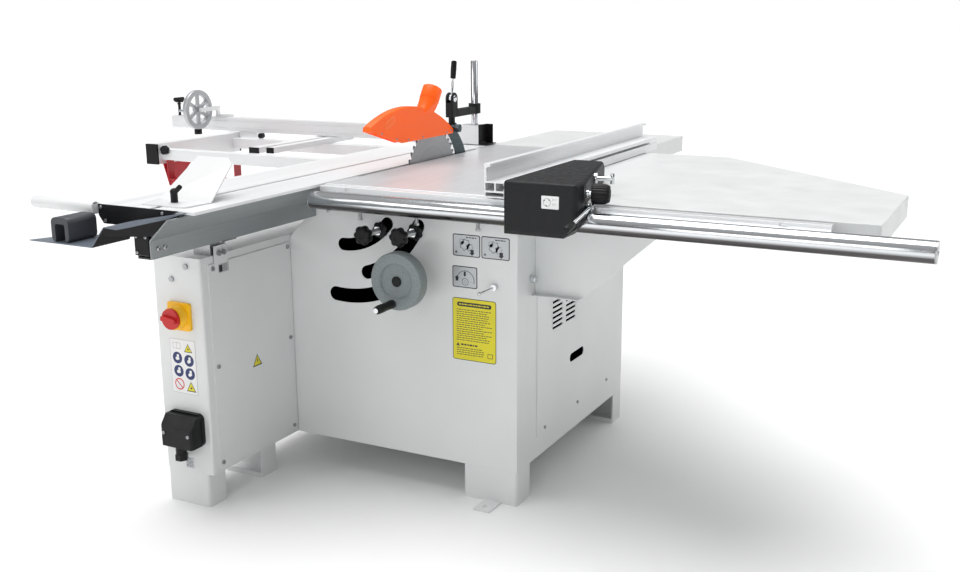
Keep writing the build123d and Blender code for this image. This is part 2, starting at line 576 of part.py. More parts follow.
def blade_guard():
    """Narrow hood over the blade, with a round hose outlet that flattens into its sides."""
    x_out, x_in = BLADE_X - GUARD_HALF, BLADE_X - GUARD_HALF + 3
    top = ThreePointArc((x_out, 133, 1004), (x_out, 352, 1047), (x_out, 618, 957))
    lower = Polyline((x_out, 618, 957), (x_out, 613, 942), (x_out, 299, 942), (x_out, 131, 990), (x_out, 133, 1004))
    hood = extrude(make_face([top] + lower.edges()), amount=2 * GUARD_HALF, dir=(1, 0, 0))
    hood = fillet(hood.edges().filter_by(GeomType.CIRCLE), 4)
    top_in = ThreePointArc((x_in, 139, 1001), (x_in, 352, 1044), (x_in, 612, 956))
    lower_in = Polyline((x_in, 612, 956), (x_in, 609, 930), (x_in, 292, 930), (x_in, 139, 985), (x_in, 139, 1001))
    hollow = extrude(make_face([top_in] + lower_in.edges()), amount=2 * GUARD_HALF - 6, dir=(1, 0, 0))
    lean = Vector(0, 40, 57).normalized()
    foot = Vector(BLADE_X, 452, 1005)

    def funnel(narrow, wide, z0):
        half = [(narrow, 960), (narrow, z0), (wide, z0 + 34), (wide, 1130)]
        outline = [(BLADE_X + w, z) for w, z in half] + [(BLADE_X - w, z) for w, z in reversed(half)]
        return prism_y(outline, 380, 640)

    outlet = rod(foot, lean, 64, HOSE_PORT_R - 1.5) & funnel(GUARD_HALF, HOSE_PORT_R + 1, 1018)
    outlet += rod(foot + lean * 62, lean, 40, HOSE_PORT_R)
    bore = rod(foot - lean * 20, lean, 140, HOSE_PORT_R - 3) & funnel(GUARD_HALF - 3, HOSE_PORT_R - 2, 1021)
    guard = hood + outlet - hollow - bore
    return guard - block(BLADE_X - 2.2, BLADE_X + 2.2, 540, 632, 925, 985)


# ---- sliding table and what rides on it ---------------------------------------------------
def sliding_table():
    edge_z = TABLE_Z - 8
    section = [(SLIDER_L, TABLE_Z), (SLIDER_R, TABLE_Z), (SLIDER_R, edge_z), (-650, edge_z),
               (-650, SLIDER_BODY_Z), (-842, SLIDER_BODY_Z), (SLIDER_L, 842)]
    table = prism_y(section, SLIDER_FRONT, SLIDER_BACK)
    for x0, x1 in ((-838, -760), (-755, -704), (-666, -655)):
        table -= block(x0, x1, SLIDER_FRONT - 1, SLIDER_BACK + 1, SLIDER_BODY_Z + 5, TABLE_Z - 6)
    table -= rod((CROSS_PIVOT[0], CROSS_PIVOT[1], 860), (0, 0, 1), 12, 8 + RUN)
    table -= block(-692, -678, SLIDER_FRONT - 1, SLIDER_BACK + 1, TABLE_Z - 9, TABLE_Z + 1)
    table -= block(-699, -671, SLIDER_FRONT - 1, SLIDER_BACK + 1, TABLE_Z - 18, TABLE_Z - 9)
    return table


def slider_end_caps():
    """Plastic end plates of the sliding table and of the outrigger's tubes."""
    plate = [(SLIDER_L, TABLE_Z - 0.5), (-600, TABLE_Z - 0.5), (-648, 850), (-652, SLIDER_BODY_Z), (-842, SLIDER_BODY_Z), (SLIDER_L, 842)]
    caps = [prism_y(plate, SLIDER_FRONT - 4, SLIDER_FRONT), prism_y(plate, SLIDER_BACK, SLIDER_BACK + 4)]
    caps.append(block(OUT_L, OUT_L + 52, OUT_FRONT - 8, OUT_FRONT, 797, 869))
    caps.append(block(OUT_L, OUT_L + 52, OUT_BACK, OUT_BACK + 8, 797, 869))
    for x0, x1, y0 in ((-1279, -1239, 520), (-1218, -1190, 538)):
        caps.append(block(x0, x1, y0 - 6, y0, 850.3, 870))
    caps.append(star_knob((-1620, 475, 848), (0, -1, 0), 16, 15, 5))
    return Part() + caps


def push_handle():
    """Steel tube at the table's front left, by which the operator pushes it."""
    grip = tube((SLIDER_L - 4, -598, 861), (-1, 0, 0), 207, 15, 2.5)
    clamp = block(SLIDER_L - 4, SLIDER_L, -613, -556, 846, 870)
    return grip + clamp + rod((SLIDER_L - 209, -598, 861), (-1, 0, 0), 3, 15)


def operator_plate():
    """Folded grey sheet in front of the table: low shelf, riser, and a strip that rises to the right."""
    section = [(-967, 790), (-760, 790), (-735, 836), (-576, 866), (-576, 868.5), (-736, 838.5), (-761.5, 792.5), (-967, 792.5)]
    back = SLIDER_FRONT - 4.3
    plan = [(-967, PLATE_FRONT), (-760, PLATE_FRONT), (-735, -700), (-576, -618), (-576, back), (-860, back), (-930, -640)]
    sheet = prism_y(section, PLATE_FRONT, back) & prism_z(plan, 780, 880)
    apron = prism_y([(-735, 838), (-576, 868), (-576, 866), (-600, 849), (-640, 816), (-735, 816)], -705, back)
    strip = prism_z([(-735, -700), (-576, -618), (-576, -615.2), (-735, -697.2)], 800, 880)
    return sheet + (apron & strip)


def operator_handle():
    """Arched moulded grip that the operator holds on to, open through Y."""
    arch = soft_box(-28, 28, -45, 45, 0, 60, 14, Axis.Y)
    arch -= soft_box(-16, 16, -46, 46, -20, 44, 6, Axis.Y)
    return Pos(-868, -664, 792.6) * arch


def ripping_shoe():
    """Folded steel shoe: a flat base and a panel that slopes up and back."""
    base = prism_z([(-742, -564), (-612, -559), (-604, -472), (-768, -472)], TABLE_Z + 0.3, TABLE_Z + 3.3)
    low, high = 873.3, 966.0
    slope = (high - low) / (-350 + 472)
    corners = [(-768, -472.5), (-604, -472.5), (-622, -366), (-646, -350), (-744, -350)]
    face = flat([(x, y, low + (y + 472.5) * slope) for x, y in corners])
    panel = extrude(face, amount=3, dir=tuple(Vector(0, slope, -1).normalized()))
    return base + panel


def shoe_lever():
    """Indexing clamp lever with its stud in the table's groove."""
    x, y = -685, -512
    hub = rod((x, y, TABLE_Z + 3.6), (0, 0, 1), 26, 9)
    arm = bar((x, y, TABLE_Z + 26), (x + 26, y - 6, TABLE_Z + 44), 6)
    return hub + arm + Pos(x, y, TABLE_Z + 29) * Sphere(9.5)


def outrigger_frame():
    tubes = [
        rect_tube(OUT_L, OUT_L + 52, OUT_FRONT, OUT_BACK, 797, 869, "y"),
        rect_tube(OUT_L + 52, SLIDER_L, 475, 515, 812, 850, "x"),
        rect_tube(OUT_L + 52, SLIDER_L, OUT_BACK - 40, OUT_BACK, 812, 850, "x"),
        rect_tube(-1279, -1239, 520, 960, 850.3, 870, "y", 2.5),
        rect_tube(-1218, -1190, 538, 1031, 850.3, 870, "y", 2.5),
    ]
    return Part() + tubes


def outrigger_bracket():
    """Folded gussets and the flat track that rests on the swing arm's roller."""
    gusset = [(-1722, 796.7), (-1584, 796.7), (-1667, 706), (-1691, 704)]
    parts = [prism_y(gusset, 557, 560)]
    parts.append(prism_x([(530, 796.7), (530, 790), (557, 704), (560, 704), (560, 796.7)], -1692, -1689))
    track_top = 743.0
    parts.append(block(-1632, -1300, ARM_Y - 55, ARM_Y + 55, track_top - 6, track_top))
    for x in (-1625, -1320):
        parts.append(block(x, x + 4, 478, 512, track_top, 811.7))
    return Part() + parts


def crosscut_fence():
    body = block(CROSS_L, CROSS_R, CROSS_Y0, CROSS_Y1, CROSS_Z0, CROSS_Z1)
    body -= block(CROSS_L - 1, CROSS_R + 1, CROSS_Y0 + 4, CROSS_Y1 - 4, CROSS_Z0 + 4, CROSS_Z1 - 5)
    for z in (885, 912):
        body -= block(CROSS_L - 1, CROSS_R + 1, CROSS_Y0 - 1, CROSS_Y0 + 2, z - 1, z + 1)
    return body


def fence_fittings():
    """Aluminium end block, pivot clamps under the fence, and the hold-down's steel column."""
    end = block(CROSS_R + 0.3, END_PLATE, 902, 962, CROSS_Z0, 938)
    end += rod((CROSS_PIVOT[0], CROSS_PIVOT[1], 863), (0, 0, 1), CROSS_Z0 - 863 + 1, 8)
    column = rod((COLUMN_X, 930, 938), (0, 0, 1), COLUMN_TOP - 938, 12.5)
    clamp = block(-1637, -1552, CROSS_Y0 - 6, CROSS_Y1, 851.5, CROSS_Z0 - 0.2)
    # carrier that holds the stop wheel's pin in front of the fence
    carrier = block(-1752, -1744, CROSS_Y0, CROSS_Y0 + 16, CROSS_Z1 + 0.2, DISC_Z + 8)
    carrier += block(-1752, -1744, DISC_Y - 10, CROSS_Y0 + 16, DISC_Z - 8, DISC_Z + 8)
    carrier += block(-1752, -1700, CROSS_Y0, CROSS_Y1, CROSS_Z1 + 0.2, CROSS_Z1 + 8)
    carrier += rod((DISC_X - 12, DISC_Y, DISC_Z), (1, 0, 0), 20, 6)
    carrier += rod((DISC_X - 15, DISC_Y, DISC_Z), (1, 0, 0), 4, 11)
    return Part() + [end + column, clamp, carrier]


def fence_knobs():
    """Black plastic end plate and knobs of the crosscut fence."""
    x = END_PLATE
    end = block(x, x + 4, 902, 962, CROSS_Z0, 940) + block(x + 4, x + 27, 900, 906, CROSS_Z0, 884)
    end += block(x + 4, x + 27, 958, 962, CROSS_Z0, 940) + block(x + 4, x + 38, 900, 962, CROSS_Z0, CROSS_Z0 + 3.5)
    side = star_knob((-1524, CROSS_Y0 - 22, 862), (0, 1, 0), 10, 20, 5)
    under = star_knob((-1868, 930, 850), (0, 0, 1), 15, 22, 5)
    rear = star_knob((-1119, CROSS_Y1 + 0.3, 895), (0, 1, 0), 14, 16, 5)
    return Part() + [end, side, under, rear]


def fence_extension():
    body = block(CROSS_EXT_L, CROSS_L + 60, CROSS_Y0 + 5, CROSS_Y1 - 5, CROSS_Z0 + 5, CROSS_Z1 - 6)
    nose = soft_box(CROSS_EXT_L, CROSS_L - 30, CROSS_Y0, CROSS_Y1, CROSS_Z0, CROSS_Z1 - 3, 8, Axis.X)
    stem = rod((-1958, 930, CROSS_Z1 - 4), (0, 0, 1), 64, 5)
    tee = bar((-1958, 906, 986), (-1958, 954, 986), 8)
    return body + nose + stem + tee


def stop_disc():
    """Spoked stop wheel on a pin at the front of the fence."""
    ring = rod((DISC_X - 8, DISC_Y, DISC_Z), (1, 0, 0), 16, DISC_R)
    ring -= rod((DISC_X - 9, DISC_Y, DISC_Z), (1, 0, 0), 18, DISC_R - 18)
    hub = rod((DISC_X - 9, DISC_Y, DISC_Z), (1, 0, 0), 18, 20)
    spokes = []
    for i in range(6):
        spoke = Pos((DISC_R + 1) / 2, 0, 0) * Box(DISC_R - 18, 12, 10)
        spokes.append(frame_for((DISC_X, DISC_Y, DISC_Z), (1, 0, 0)) * Rot(0, 0, 60 * i) * spoke)
    wheel = ring + hub + spokes
    pins = []
    for turn in (90, 210):
        pin = Pos(DISC_R - 9, 0, 0) * Cylinder(5, 32, align=(Align.CENTER, Align.CENTER, Align.MIN))
        pins.append(frame_for((DISC_X - 32, DISC_Y, DISC_Z), (1, 0, 0)) * Rot(0, 0, turn) * pin)
    return wheel + pins - rod((DISC_X - 20, DISC_Y, DISC_Z), (1, 0, 0), 40, 6 + RUN)


def hold_down_arm():
    """Cast arm that slides on the column and carries the eccentric presser."""
    x, y = COLUMN_X, 930
    boss = rod((x, y, 978), (0, 0, 1), 34, 21)
    arm = block(x - 14, x + 14, HOLD_Y - 10, y - 8, 978, 1002)
    ear = rod((x - 14, HOLD_Y, HOLD_Z), (1, 0, 0), 28, 20)
    ear += block(x - 14, x + 14, HOLD_Y - 20, HOLD_Y + 20, 978, HOLD_Z)
    cheek_gap = block(x - 7.5, x + 7.5, HOLD_Y - 25, HOLD_Y + 25, HOLD_Z - 14, HOLD_Z + 24)
    foot = rod((x, HOLD_Y, 958), (0, 0, 1), 20, 11) + rod((x, HOLD_Y, 950), (0, 0, 1), 8, 16)
    arm_body = boss + arm + ear
    arm_body = fillet(arm_body.edges().filter_by(Axis.Z), 4) - cheek_gap + foot
    arm_body -= rod((x - 16, HOLD_Y, HOLD_Z), (1, 0, 0), 32, 6 + RUN)
    return arm_body - rod((x, y, 970), (0, 0, 1), 50, 12.5 + RUN)


def hold_down_lever():
    x = COLUMN_X
    cam = rod((x - 7, HOLD_Y, HOLD_Z), (1, 0, 0), 14, 12.5) + rod((x - 14, HOLD_Y, HOLD_Z), (1, 0, 0), 28, 6)
    lever = bar((x, HOLD_Y, HOLD_Z + 4), (x, HOLD_Y + 12, HOLD_Z + 68), 4)
    grip = bar((x, HOLD_Y + 12, HOLD_Z + 68), (x, HOLD_Y + 20, HOLD_Z + 121), 8.5)
    return cam + lever + grip


def roller_carriage():
    """Intermediate carriage: frame plate with cross rollers between beam and table."""
    plate = block(-728, -656, -230, 560, 806, 814)
    rollers = []
    for y in (-190, -60, 165, 390, 520):
        plate -= block(-722, -664, y - 10.5, y + 10.5, 805, 815)
        rollers.append(rod((-724, y, 811), (1, 0, 0), 62, 9.7))
    return plate + rollers


def swing_arm():
    """Support arm that swings on its post and carries the outrigger on a roller."""
    end_x = ARM_X - ARM_LEN
    arm = block(end_x, ARM_X, ARM_Y - 22, ARM_Y + 22, ARM_Z0, ARM_Z1)
    arm += rod((ARM_X, ARM_Y, ARM_Z0), (0, 0, 1), ARM_Z1 - ARM_Z0, 26)
    arm += rod((end_x, ARM_Y, ARM_Z0), (0, 0, 1), ARM_Z1 - ARM_Z0, 22)
    roller = rod((end_x, ARM_Y, ARM_Z1), (0, 0, 1), 10, 13)
    return arm + roller - rod((ARM_X, ARM_Y, ARM_Z0 - 1), (0, 0, 1), 30, 12 + RUN)


# ---- rip fence ----------------------------------------------------------------------------
def fence_casting():
    side = [(CAST_FRONT, CAST_Z1), (CAST_FRONT, CAST_Z0 + 12), (CAST_FRONT + 12, CAST_Z0), (SCALE_FRONT - 3, CAST_Z0),
            (SCALE_FRONT - 3, TABLE_Z + 2), (287, TABLE_Z + 2), (287, 908), (250, CAST_Z1)]
    body = prism_x(side, CAST_L, CAST_L + 200)
    plan = [(CAST_L, CAST_FRONT - 1), (CAST_L + 192, CAST_FRONT - 1), (CAST_L + 192, -130), (125, 288), (CAST_L, 288)]
    body = body & prism_z(plan, CAST_Z0 - 1, CAST_Z1 + 1)
    body = fillet(body.edges().filter_by(Axis.Z).group_by(Axis.Y)[0], 14)
    body = fillet(body.faces().sort_by(Axis.Z)[-1].edges(), 9)
    body -= prism_y([(199, CAST_Z0 - 2), (240, CAST_Z0 - 2), (240, 828)], CAST_FRONT - 5, -90)
    body -= rod((CAST_L - 1, RAIL_Y, RAIL_Z), (1, 0, 0), 202, RAIL_R + 0.4)
    body -= block(CAST_L - 1, CAST_L + 202, RAIL_Y, SCALE_FRONT + 1, RAIL_Z - RAIL_R - 0.4, RAIL_Z + RAIL_R + 0.4)
    return body - rod((215, -112, 868), (1, 0, 0), 30, 9)


def rip_fence():
    section = [(RIP_L, 957), (RIP_L + 18, 957), (RIP_L + 18, 950), (RIP_L + 7, 947), (RIP_L + 7, 913), (RIP_R, 913),
               (RIP_R, 872), (RIP_L, 872)]
    fence = prism_y(section, RIP_FRONT, RIP_BACK)
    for x0, x1, z0, z1 in ((RIP_L + 4, RIP_L + 28, 890, 909), (RIP_L + 33, RIP_R - 4, 890, 909), (RIP_L + 4, RIP_R - 4, 876, 885)):
        fence -= block(x0, x1, RIP_FRONT - 1, RIP_BACK + 1, z0, z1)
    fence -= block(RIP_R - 6, RIP_R + 1, RIP_FRONT - 1, RIP_BACK + 1, 896, 903)
    return fence


def clamp_lever():
    """Chromed clamp lever of the fence casting, with a plastic-tipped handle."""
    hub = rod((222, -112, 868), (1, 0, 0), 30, 8.9)
    arm = bar((246, -112, 868), (248, -226, 846), 5)
    tip = bar((248, -226, 846), (248, -262, 839), 8)
    return hub + arm + tip


def casting_normal():
    """Outward normal of the casting's tapering right side."""
    dx, dy = 125 - (CAST_L + 192), 288 + 130
    size = hypot(dx, dy)
    return dy / size, -dx / size, 0


def on_taper(y, out=0.0):
    """Point in plan on the tapering side at a given y, moved outward."""
    nx, ny, _ = casting_normal()
    x = CAST_L + 192 + (y + 130) * (125 - (CAST_L + 192)) / (288 + 130)
    return x + nx * out, y + ny * out


def fine_adjust_knob():
    normal = casting_normal()
    x, y = on_taper(-95, 0.3)
    neck = rod((x, y, 898), normal, 14, 9)
    x, y = on_taper(-95, 14.0)
    knob = rod((x, y, 898), normal, 46, 25)
    plane = frame_for((x, y, 898), normal)
    for i in range(16):
        groove = Pos(25.6 * cos(i * pi / 8), 25.6 * sin(i * pi / 8), 3) * Cylinder(2, 40, align=(Align.CENTER, Align.CENTER, Align.MIN))
        knob -= plane * groove
    return neck + knob


def tee_knob():
    normal = casting_normal()
    x, y = on_taper(62, 0.3)
    collar = rod((x, y, 911), normal, 7, 15)
    x2, y2 = on_taper(62, 46.0)
    stem = bar((x, y, 911), (x2, y2, 911), 6)
    return collar + stem + bar((x2, y2, 898), (x2, y2, 924), 5)


PARTS = [
    cabinet_shell, side_cover, support_box, electrical_cover, base_fasteners, machine_feet, dust_port,
    cast_iron_table, rear_extension, right_extension, extension_brackets, fence_scale_profile, fence_rail,
    fixed_beam, beam_cover, beam_supports, beam_end_caps, isolator_base, isolator_knob, socket_housing,
    label_plates, side_latch, panel_lever, trunnion_guides, tilt_frame, handwheel, crank_grip,
    rise_carriage, main_motor, motor_pulley, drive_belt, saw_arbor, saw_blade, riving_knife, blade_guard,
    sliding_table, slider_end_caps, push_handle, operator_plate, operator_handle, ripping_shoe, shoe_lever,
    outrigger_frame, outrigger_bracket, crosscut_fence, fence_fittings, fence_knobs, fence_extension,
    stop_disc, hold_down_arm, hold_down_lever, roller_carriage, swing_arm,
    fence_casting, rip_fence, clamp_lever, fine_adjust_knob, tee_knob,
]

os.makedirs("parts", exist_ok=True)
shapes = {make.__name__: make() for make in PARTS}
shapes["lock_knob_left"] = lock_knob(STUD_1)
shapes["lock_knob_right"] = lock_knob(STUD_2)
for node, shape in shapes.items():
    export_step(ROW_SHIFT * shape, f"parts/{node}.step")
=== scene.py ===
import json
from math import cos, pi, radians, sin

import bmesh
import bpy
from mathutils import Matrix, Vector


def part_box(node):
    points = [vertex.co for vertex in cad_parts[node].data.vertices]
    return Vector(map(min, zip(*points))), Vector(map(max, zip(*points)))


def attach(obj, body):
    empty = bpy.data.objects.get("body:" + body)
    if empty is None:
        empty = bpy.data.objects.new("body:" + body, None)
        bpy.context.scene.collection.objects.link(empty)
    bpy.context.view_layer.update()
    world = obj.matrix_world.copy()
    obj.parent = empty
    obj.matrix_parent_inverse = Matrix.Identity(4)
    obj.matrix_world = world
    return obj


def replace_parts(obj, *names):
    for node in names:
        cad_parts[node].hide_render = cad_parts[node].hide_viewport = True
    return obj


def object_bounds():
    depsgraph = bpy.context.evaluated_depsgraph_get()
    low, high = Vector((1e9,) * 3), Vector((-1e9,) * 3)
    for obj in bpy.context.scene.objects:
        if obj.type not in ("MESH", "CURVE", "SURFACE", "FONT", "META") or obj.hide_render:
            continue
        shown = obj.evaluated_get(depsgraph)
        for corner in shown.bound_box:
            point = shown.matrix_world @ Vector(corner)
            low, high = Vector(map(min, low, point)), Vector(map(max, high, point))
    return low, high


# Looks for the sliding-table panel saw. Units are metres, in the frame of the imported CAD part:
# +X runs along the rip-fence rail, +Y is the feed direction, +Z is up, the floor is Z = 0.

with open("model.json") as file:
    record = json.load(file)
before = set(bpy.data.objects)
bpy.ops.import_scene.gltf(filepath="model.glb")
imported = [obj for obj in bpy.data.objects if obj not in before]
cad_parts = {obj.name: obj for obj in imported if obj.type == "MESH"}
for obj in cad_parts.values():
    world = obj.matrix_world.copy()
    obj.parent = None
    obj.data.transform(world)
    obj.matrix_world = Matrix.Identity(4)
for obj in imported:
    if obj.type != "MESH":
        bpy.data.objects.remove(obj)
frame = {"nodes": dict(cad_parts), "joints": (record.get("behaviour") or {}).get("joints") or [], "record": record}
CAD_LOW, CAD_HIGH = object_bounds()
NODES = frame["nodes"]
RIDES = {node: body for body, nodes in frame["record"]["behaviour"]["bodies"].items() for node in nodes}
JOINT_AT = {j["name"]: Vector(j["pos_m"]) for j in frame["joints"] if "pos_m" in j}
MM = 0.001


def span(node):
    """Lowest corner, highest corner and centre of a CAD node."""
    low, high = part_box(node)
    return low, high, (low + high) / 2


# ---- materials ----------------------------------------------------------------------------
class Shader:
    """A material under construction: a principled shader plus the nodes that feed it."""

    def __init__(self, name, roughness=0.4, metallic=0.0, **sockets):
        self.material = bpy.data.materials.new(name)
        self.material.use_nodes = True
        self.tree = self.material.node_tree
        self.bsdf = self.tree.nodes["Principled BSDF"]
        self.bsdf.inputs["Roughness"].default_value = roughness
        self.bsdf.inputs["Metallic"].default_value = metallic
        for socket, value in sockets.items():
            self.bsdf.inputs[socket.replace("_", " ")].default_value = value
        self.place = self.tree.nodes.new("ShaderNodeTexCoord").outputs["Object"]

    def node(self, kind, settings=None, **links):
        """New node; each link names a socket (_0 is the first) and gives a value or another socket."""
        made = self.tree.nodes.new(kind)
        for key, value in (settings or {}).items():
            setattr(made, key, value)
        for socket, value in links.items():
            key = int(socket[1:]) if socket[1:].isdigit() else socket.replace("_", " ")
            socket = made.inputs[key]
            if isinstance(value, bpy.types.NodeSocket):
                self.tree.links.new(value, socket)
            else:
                socket.default_value = value
        return made

    def stretched(self, scale):
        """Object coordinates scaled per axis; a small factor draws the texture out along that axis."""
        return self.node("ShaderNodeMapping", Vector=self.place, Scale=scale).outputs[0]

    def noise(self, scale, detail=3.0, stretch=(1, 1, 1), roughness=0.5):
        """Noise of about scale cells per metre, in object coordinates."""
        made = self.node("ShaderNodeTexNoise", Vector=self.stretched(stretch), Scale=scale, Detail=detail,
                         Roughness=roughness)
        return made.outputs[0]

    def ramp(self, value, low, high, to_low=0.0, to_high=1.0):
        """Value carried from low..high to to_low..to_high, and held at the ends."""
        made = self.node("ShaderNodeMapRange", Value=value, From_Min=low, From_Max=high, To_Min=to_low,
                         To_Max=to_high)
        return made.outputs[0]

    def math(self, operation, a, b=0.0):
        return self.node("ShaderNodeMath", {"operation": operation}, _0=a, _1=b).outputs[0]

    def mix(self, factor, a, b):
        """Colour a where factor is 0, colour b where it is 1."""
        made = self.node("ShaderNodeMix", {"data_type": "RGBA"}, _0=factor, _6=a, _7=b)
        return made.outputs[2]

    def colour(self, value):
        self.tree.links.new(value, self.bsdf.inputs["Base Color"])

    def rough(self, value):
        self.tree.links.new(value, self.bsdf.inputs["Roughness"])

    def bump(self, height, distance, strength=1.0, under=None):
        """Relief of distance metres, laid over the relief in under; the last call is what shows."""
        links = {"Normal": under} if under else {}
        made = self.node("ShaderNodeBump", Height=height, Distance=distance, Strength=strength, **links)
        self.tree.links.new(made.outputs[0], self.bsdf.inputs["Normal"])
        return made.outputs[0]


def tone(colour, factor):
    """Lighter or darker version of a colour."""
    return tuple(min(1.0, c * factor) for c in colour[:3]) + (1.0,)


def powder_coat(name, colour, roughness=0.42, peel=0.00012, spread=0.03):
    """Sprayed powder paint: orange peel, a fine grit, faint handling marks."""
    s = Shader(name, roughness, Coat_Weight=0.12, Coat_Roughness=0.25)
    clouds = s.noise(3.5, 4.0)
    s.colour(s.mix(s.ramp(clouds, 0.35, 0.65), tone(colour, 1 - spread), tone(colour, 1 + spread / 2)))
    smears = s.noise(14.0, 5.0, (1, 1, 0.35))
    s.rough(s.ramp(smears, 0.3, 0.7, roughness - 0.06, roughness + 0.08))
    grit = s.bump(s.noise(1500.0, 1.0), 0.00002, 0.5)
    s.bump(s.noise(420.0, 2.0), peel, 0.55, grit)
    return s.material


def extruded(name, colour=(0.88, 0.89, 0.90), along=1, roughness=0.34, metallic=0.62):
    """Anodised extrusion: fine die lines along one axis, small rubs across it."""
    s = Shader(name, roughness, metallic)
    stretch = [1.0, 1.0, 1.0]
    stretch[along] = 0.01
    lines = s.noise(900.0, 3.0, stretch)
    cloud = s.noise(5.0, 4.0)
    tinted = s.mix(s.ramp(lines, 0.3, 0.7), tone(colour, 0.95), tone(colour, 1.03))
    s.colour(s.mix(s.ramp(cloud, 0.4, 0.75, 0.0, 0.35), tinted, tone(colour, 0.93)))
    s.rough(s.ramp(s.noise(60.0, 5.0, stretch), 0.3, 0.7, roughness - 0.06, roughness + 0.09))
    s.bump(lines, 0.00003, 0.5)
    return s.material


def ground_iron(name, colour=(0.72, 0.735, 0.755)):
    """Surface-ground cast iron: fine lines in the feed direction, graphite specks, oil bloom."""
    s = Shader(name, 0.32, 0.35)
    lines = s.noise(1100.0, 4.0, (1, 0.012, 1))
    bands = s.noise(55.0, 3.0, (1, 0.03, 1))
    bloom = s.noise(2.6, 5.0)
    base = s.mix(s.ramp(lines, 0.3, 0.7), tone(colour, 0.93), tone(colour, 1.05))
    base = s.mix(s.ramp(bands, 0.4, 0.65, 0.0, 0.4), base, tone(colour, 0.9))
    specks = s.ramp(s.noise(700.0, 2.0), 0.66, 0.72)
    base = s.mix(s.math("MULTIPLY", specks, 0.35), base, tone(colour, 0.55))
    s.colour(s.mix(s.ramp(bloom, 0.45, 0.75, 0.0, 0.3), base, (0.70, 0.685, 0.68, 1)))
    s.rough(s.ramp(bloom, 0.3, 0.7, 0.24, 0.40))
    s.bump(lines, 0.00004, 0.6)
    return s.material


def polished(name, colour=(0.80, 0.81, 0.83), roughness=0.09, along=None):
    """Chrome or polished steel with hairline scratches."""
    s = Shader(name, roughness, 1.0)
    stretch = [1.0, 1.0, 1.0]
    if along is not None:
        stretch[along] = 0.02
    hair = s.noise(800.0, 4.0, stretch)
    s.colour(s.mix(s.ramp(s.noise(7.0, 4.0), 0.35, 0.7), tone(colour, 0.96), tone(colour, 1.04)))
    s.rough(s.ramp(hair, 0.35, 0.75, roughness * 0.7, roughness * 1.9))
    s.bump(hair, 0.000008, 0.4)
    return s.material


def rail_chrome(name, colour=(0.66, 0.68, 0.70)):
    """Chromed round rail along X: hairlines round it and a painted dark reflection on its underside."""
    s = Shader(name, 0.13, 1.0)
    hair = s.noise(800.0, 4.0, (0.02, 1.0, 1.0))
    base = s.mix(s.ramp(s.noise(7.0, 4.0), 0.35, 0.7), tone(colour, 0.96), tone(colour, 1.04))
    normal = s.node("ShaderNodeTexCoord").outputs["Normal"]
    facing_up = s.node("ShaderNodeSeparateXYZ", Vector=normal).outputs["Z"]
    # faces that turn downwards are mixed to near-black: painted reflection of dark surroundings
    s.colour(s.mix(s.ramp(facing_up, -0.42, -0.12), (0.10, 0.095, 0.095, 1), base))
    s.rough(s.ramp(hair, 0.35, 0.75, 0.09, 0.24))
    s.bump(hair, 0.000008, 0.4)
    return s.material


def turned_disc(name, colour=(0.40, 0.41, 0.42)):
    """Blade steel: ground circles about local Z, a lacquered ring, and bright carbide at the rim."""
    s = Shader(name, 0.34, 0.85)
    flat = s.node("ShaderNodeVectorMath", {"operation": "MULTIPLY"}, _0=s.place, _1=(1, 1, 0)).outputs[0]
    radius = s.node("ShaderNodeVectorMath", {"operation": "LENGTH"}, _0=flat).outputs["Value"]
    ring_at = s.node("ShaderNodeCombineXYZ", X=radius).outputs[0]
    rings = s.node("ShaderNodeTexNoise", Vector=ring_at, Scale=1600.0, Detail=4.0).outputs[0]
    broad = s.node("ShaderNodeTexNoise", Vector=ring_at, Scale=60.0, Detail=2.0).outputs[0]
    cloud = s.noise(9.0, 4.0)
    base = s.mix(s.ramp(rings, 0.3, 0.7), tone(colour, 0.88), tone(colour, 1.1))
    base = s.mix(s.ramp(broad, 0.4, 0.65, 0.0, 0.5), base, tone(colour, 0.78))
    base = s.mix(s.ramp(cloud, 0.4, 0.7, 0.0, 0.35), base, tone(colour, 1.25))
    s.colour(s.mix(s.ramp(radius, 0.150, 0.152), base, (0.16, 0.165, 0.175, 1)))
    s.rough(s.ramp(rings, 0.3, 0.7, 0.28, 0.44))
    s.bump(rings, 0.00003, 0.6)
    return s.material


def moulded(name, colour, roughness=0.42, grain=0.00006, scale=1400.0, **sockets):
    """Injection-moulded plastic with a spark-eroded grain and faint flow marks."""
    s = Shader(name, roughness, 0.0, **sockets)
    flow = s.noise(9.0, 4.0)
    s.colour(s.mix(s.ramp(flow, 0.35, 0.7), tone(colour, 0.93), tone(colour, 1.06)))
    s.rough(s.ramp(s.noise(40.0, 4.0), 0.3, 0.7, roughness - 0.05, roughness + 0.07))
    s.bump(s.noise(scale, 2.0), grain, 0.6)
    return s.material


def cast_paint(name, colour, roughness=0.5):
    """Thick wrinkle paint over a rough casting."""
    s = Shader(name, roughness, Specular_IOR_Level=0.3)
    cells = s.node("ShaderNodeTexVoronoi", Vector=s.place, Scale=520.0, Randomness=1.0).outputs[0]
    lumps = s.noise(60.0, 3.0)
    s.colour(s.mix(s.ramp(cells, 0.1, 0.7), tone(colour, 1.25), tone(colour, 0.8)))
    s.rough(s.ramp(lumps, 0.3, 0.7, roughness - 0.08, roughness + 0.08))
    s.bump(lumps, 0.0004, 0.35, s.bump(cells, 0.00016, 0.7))
    return s.material


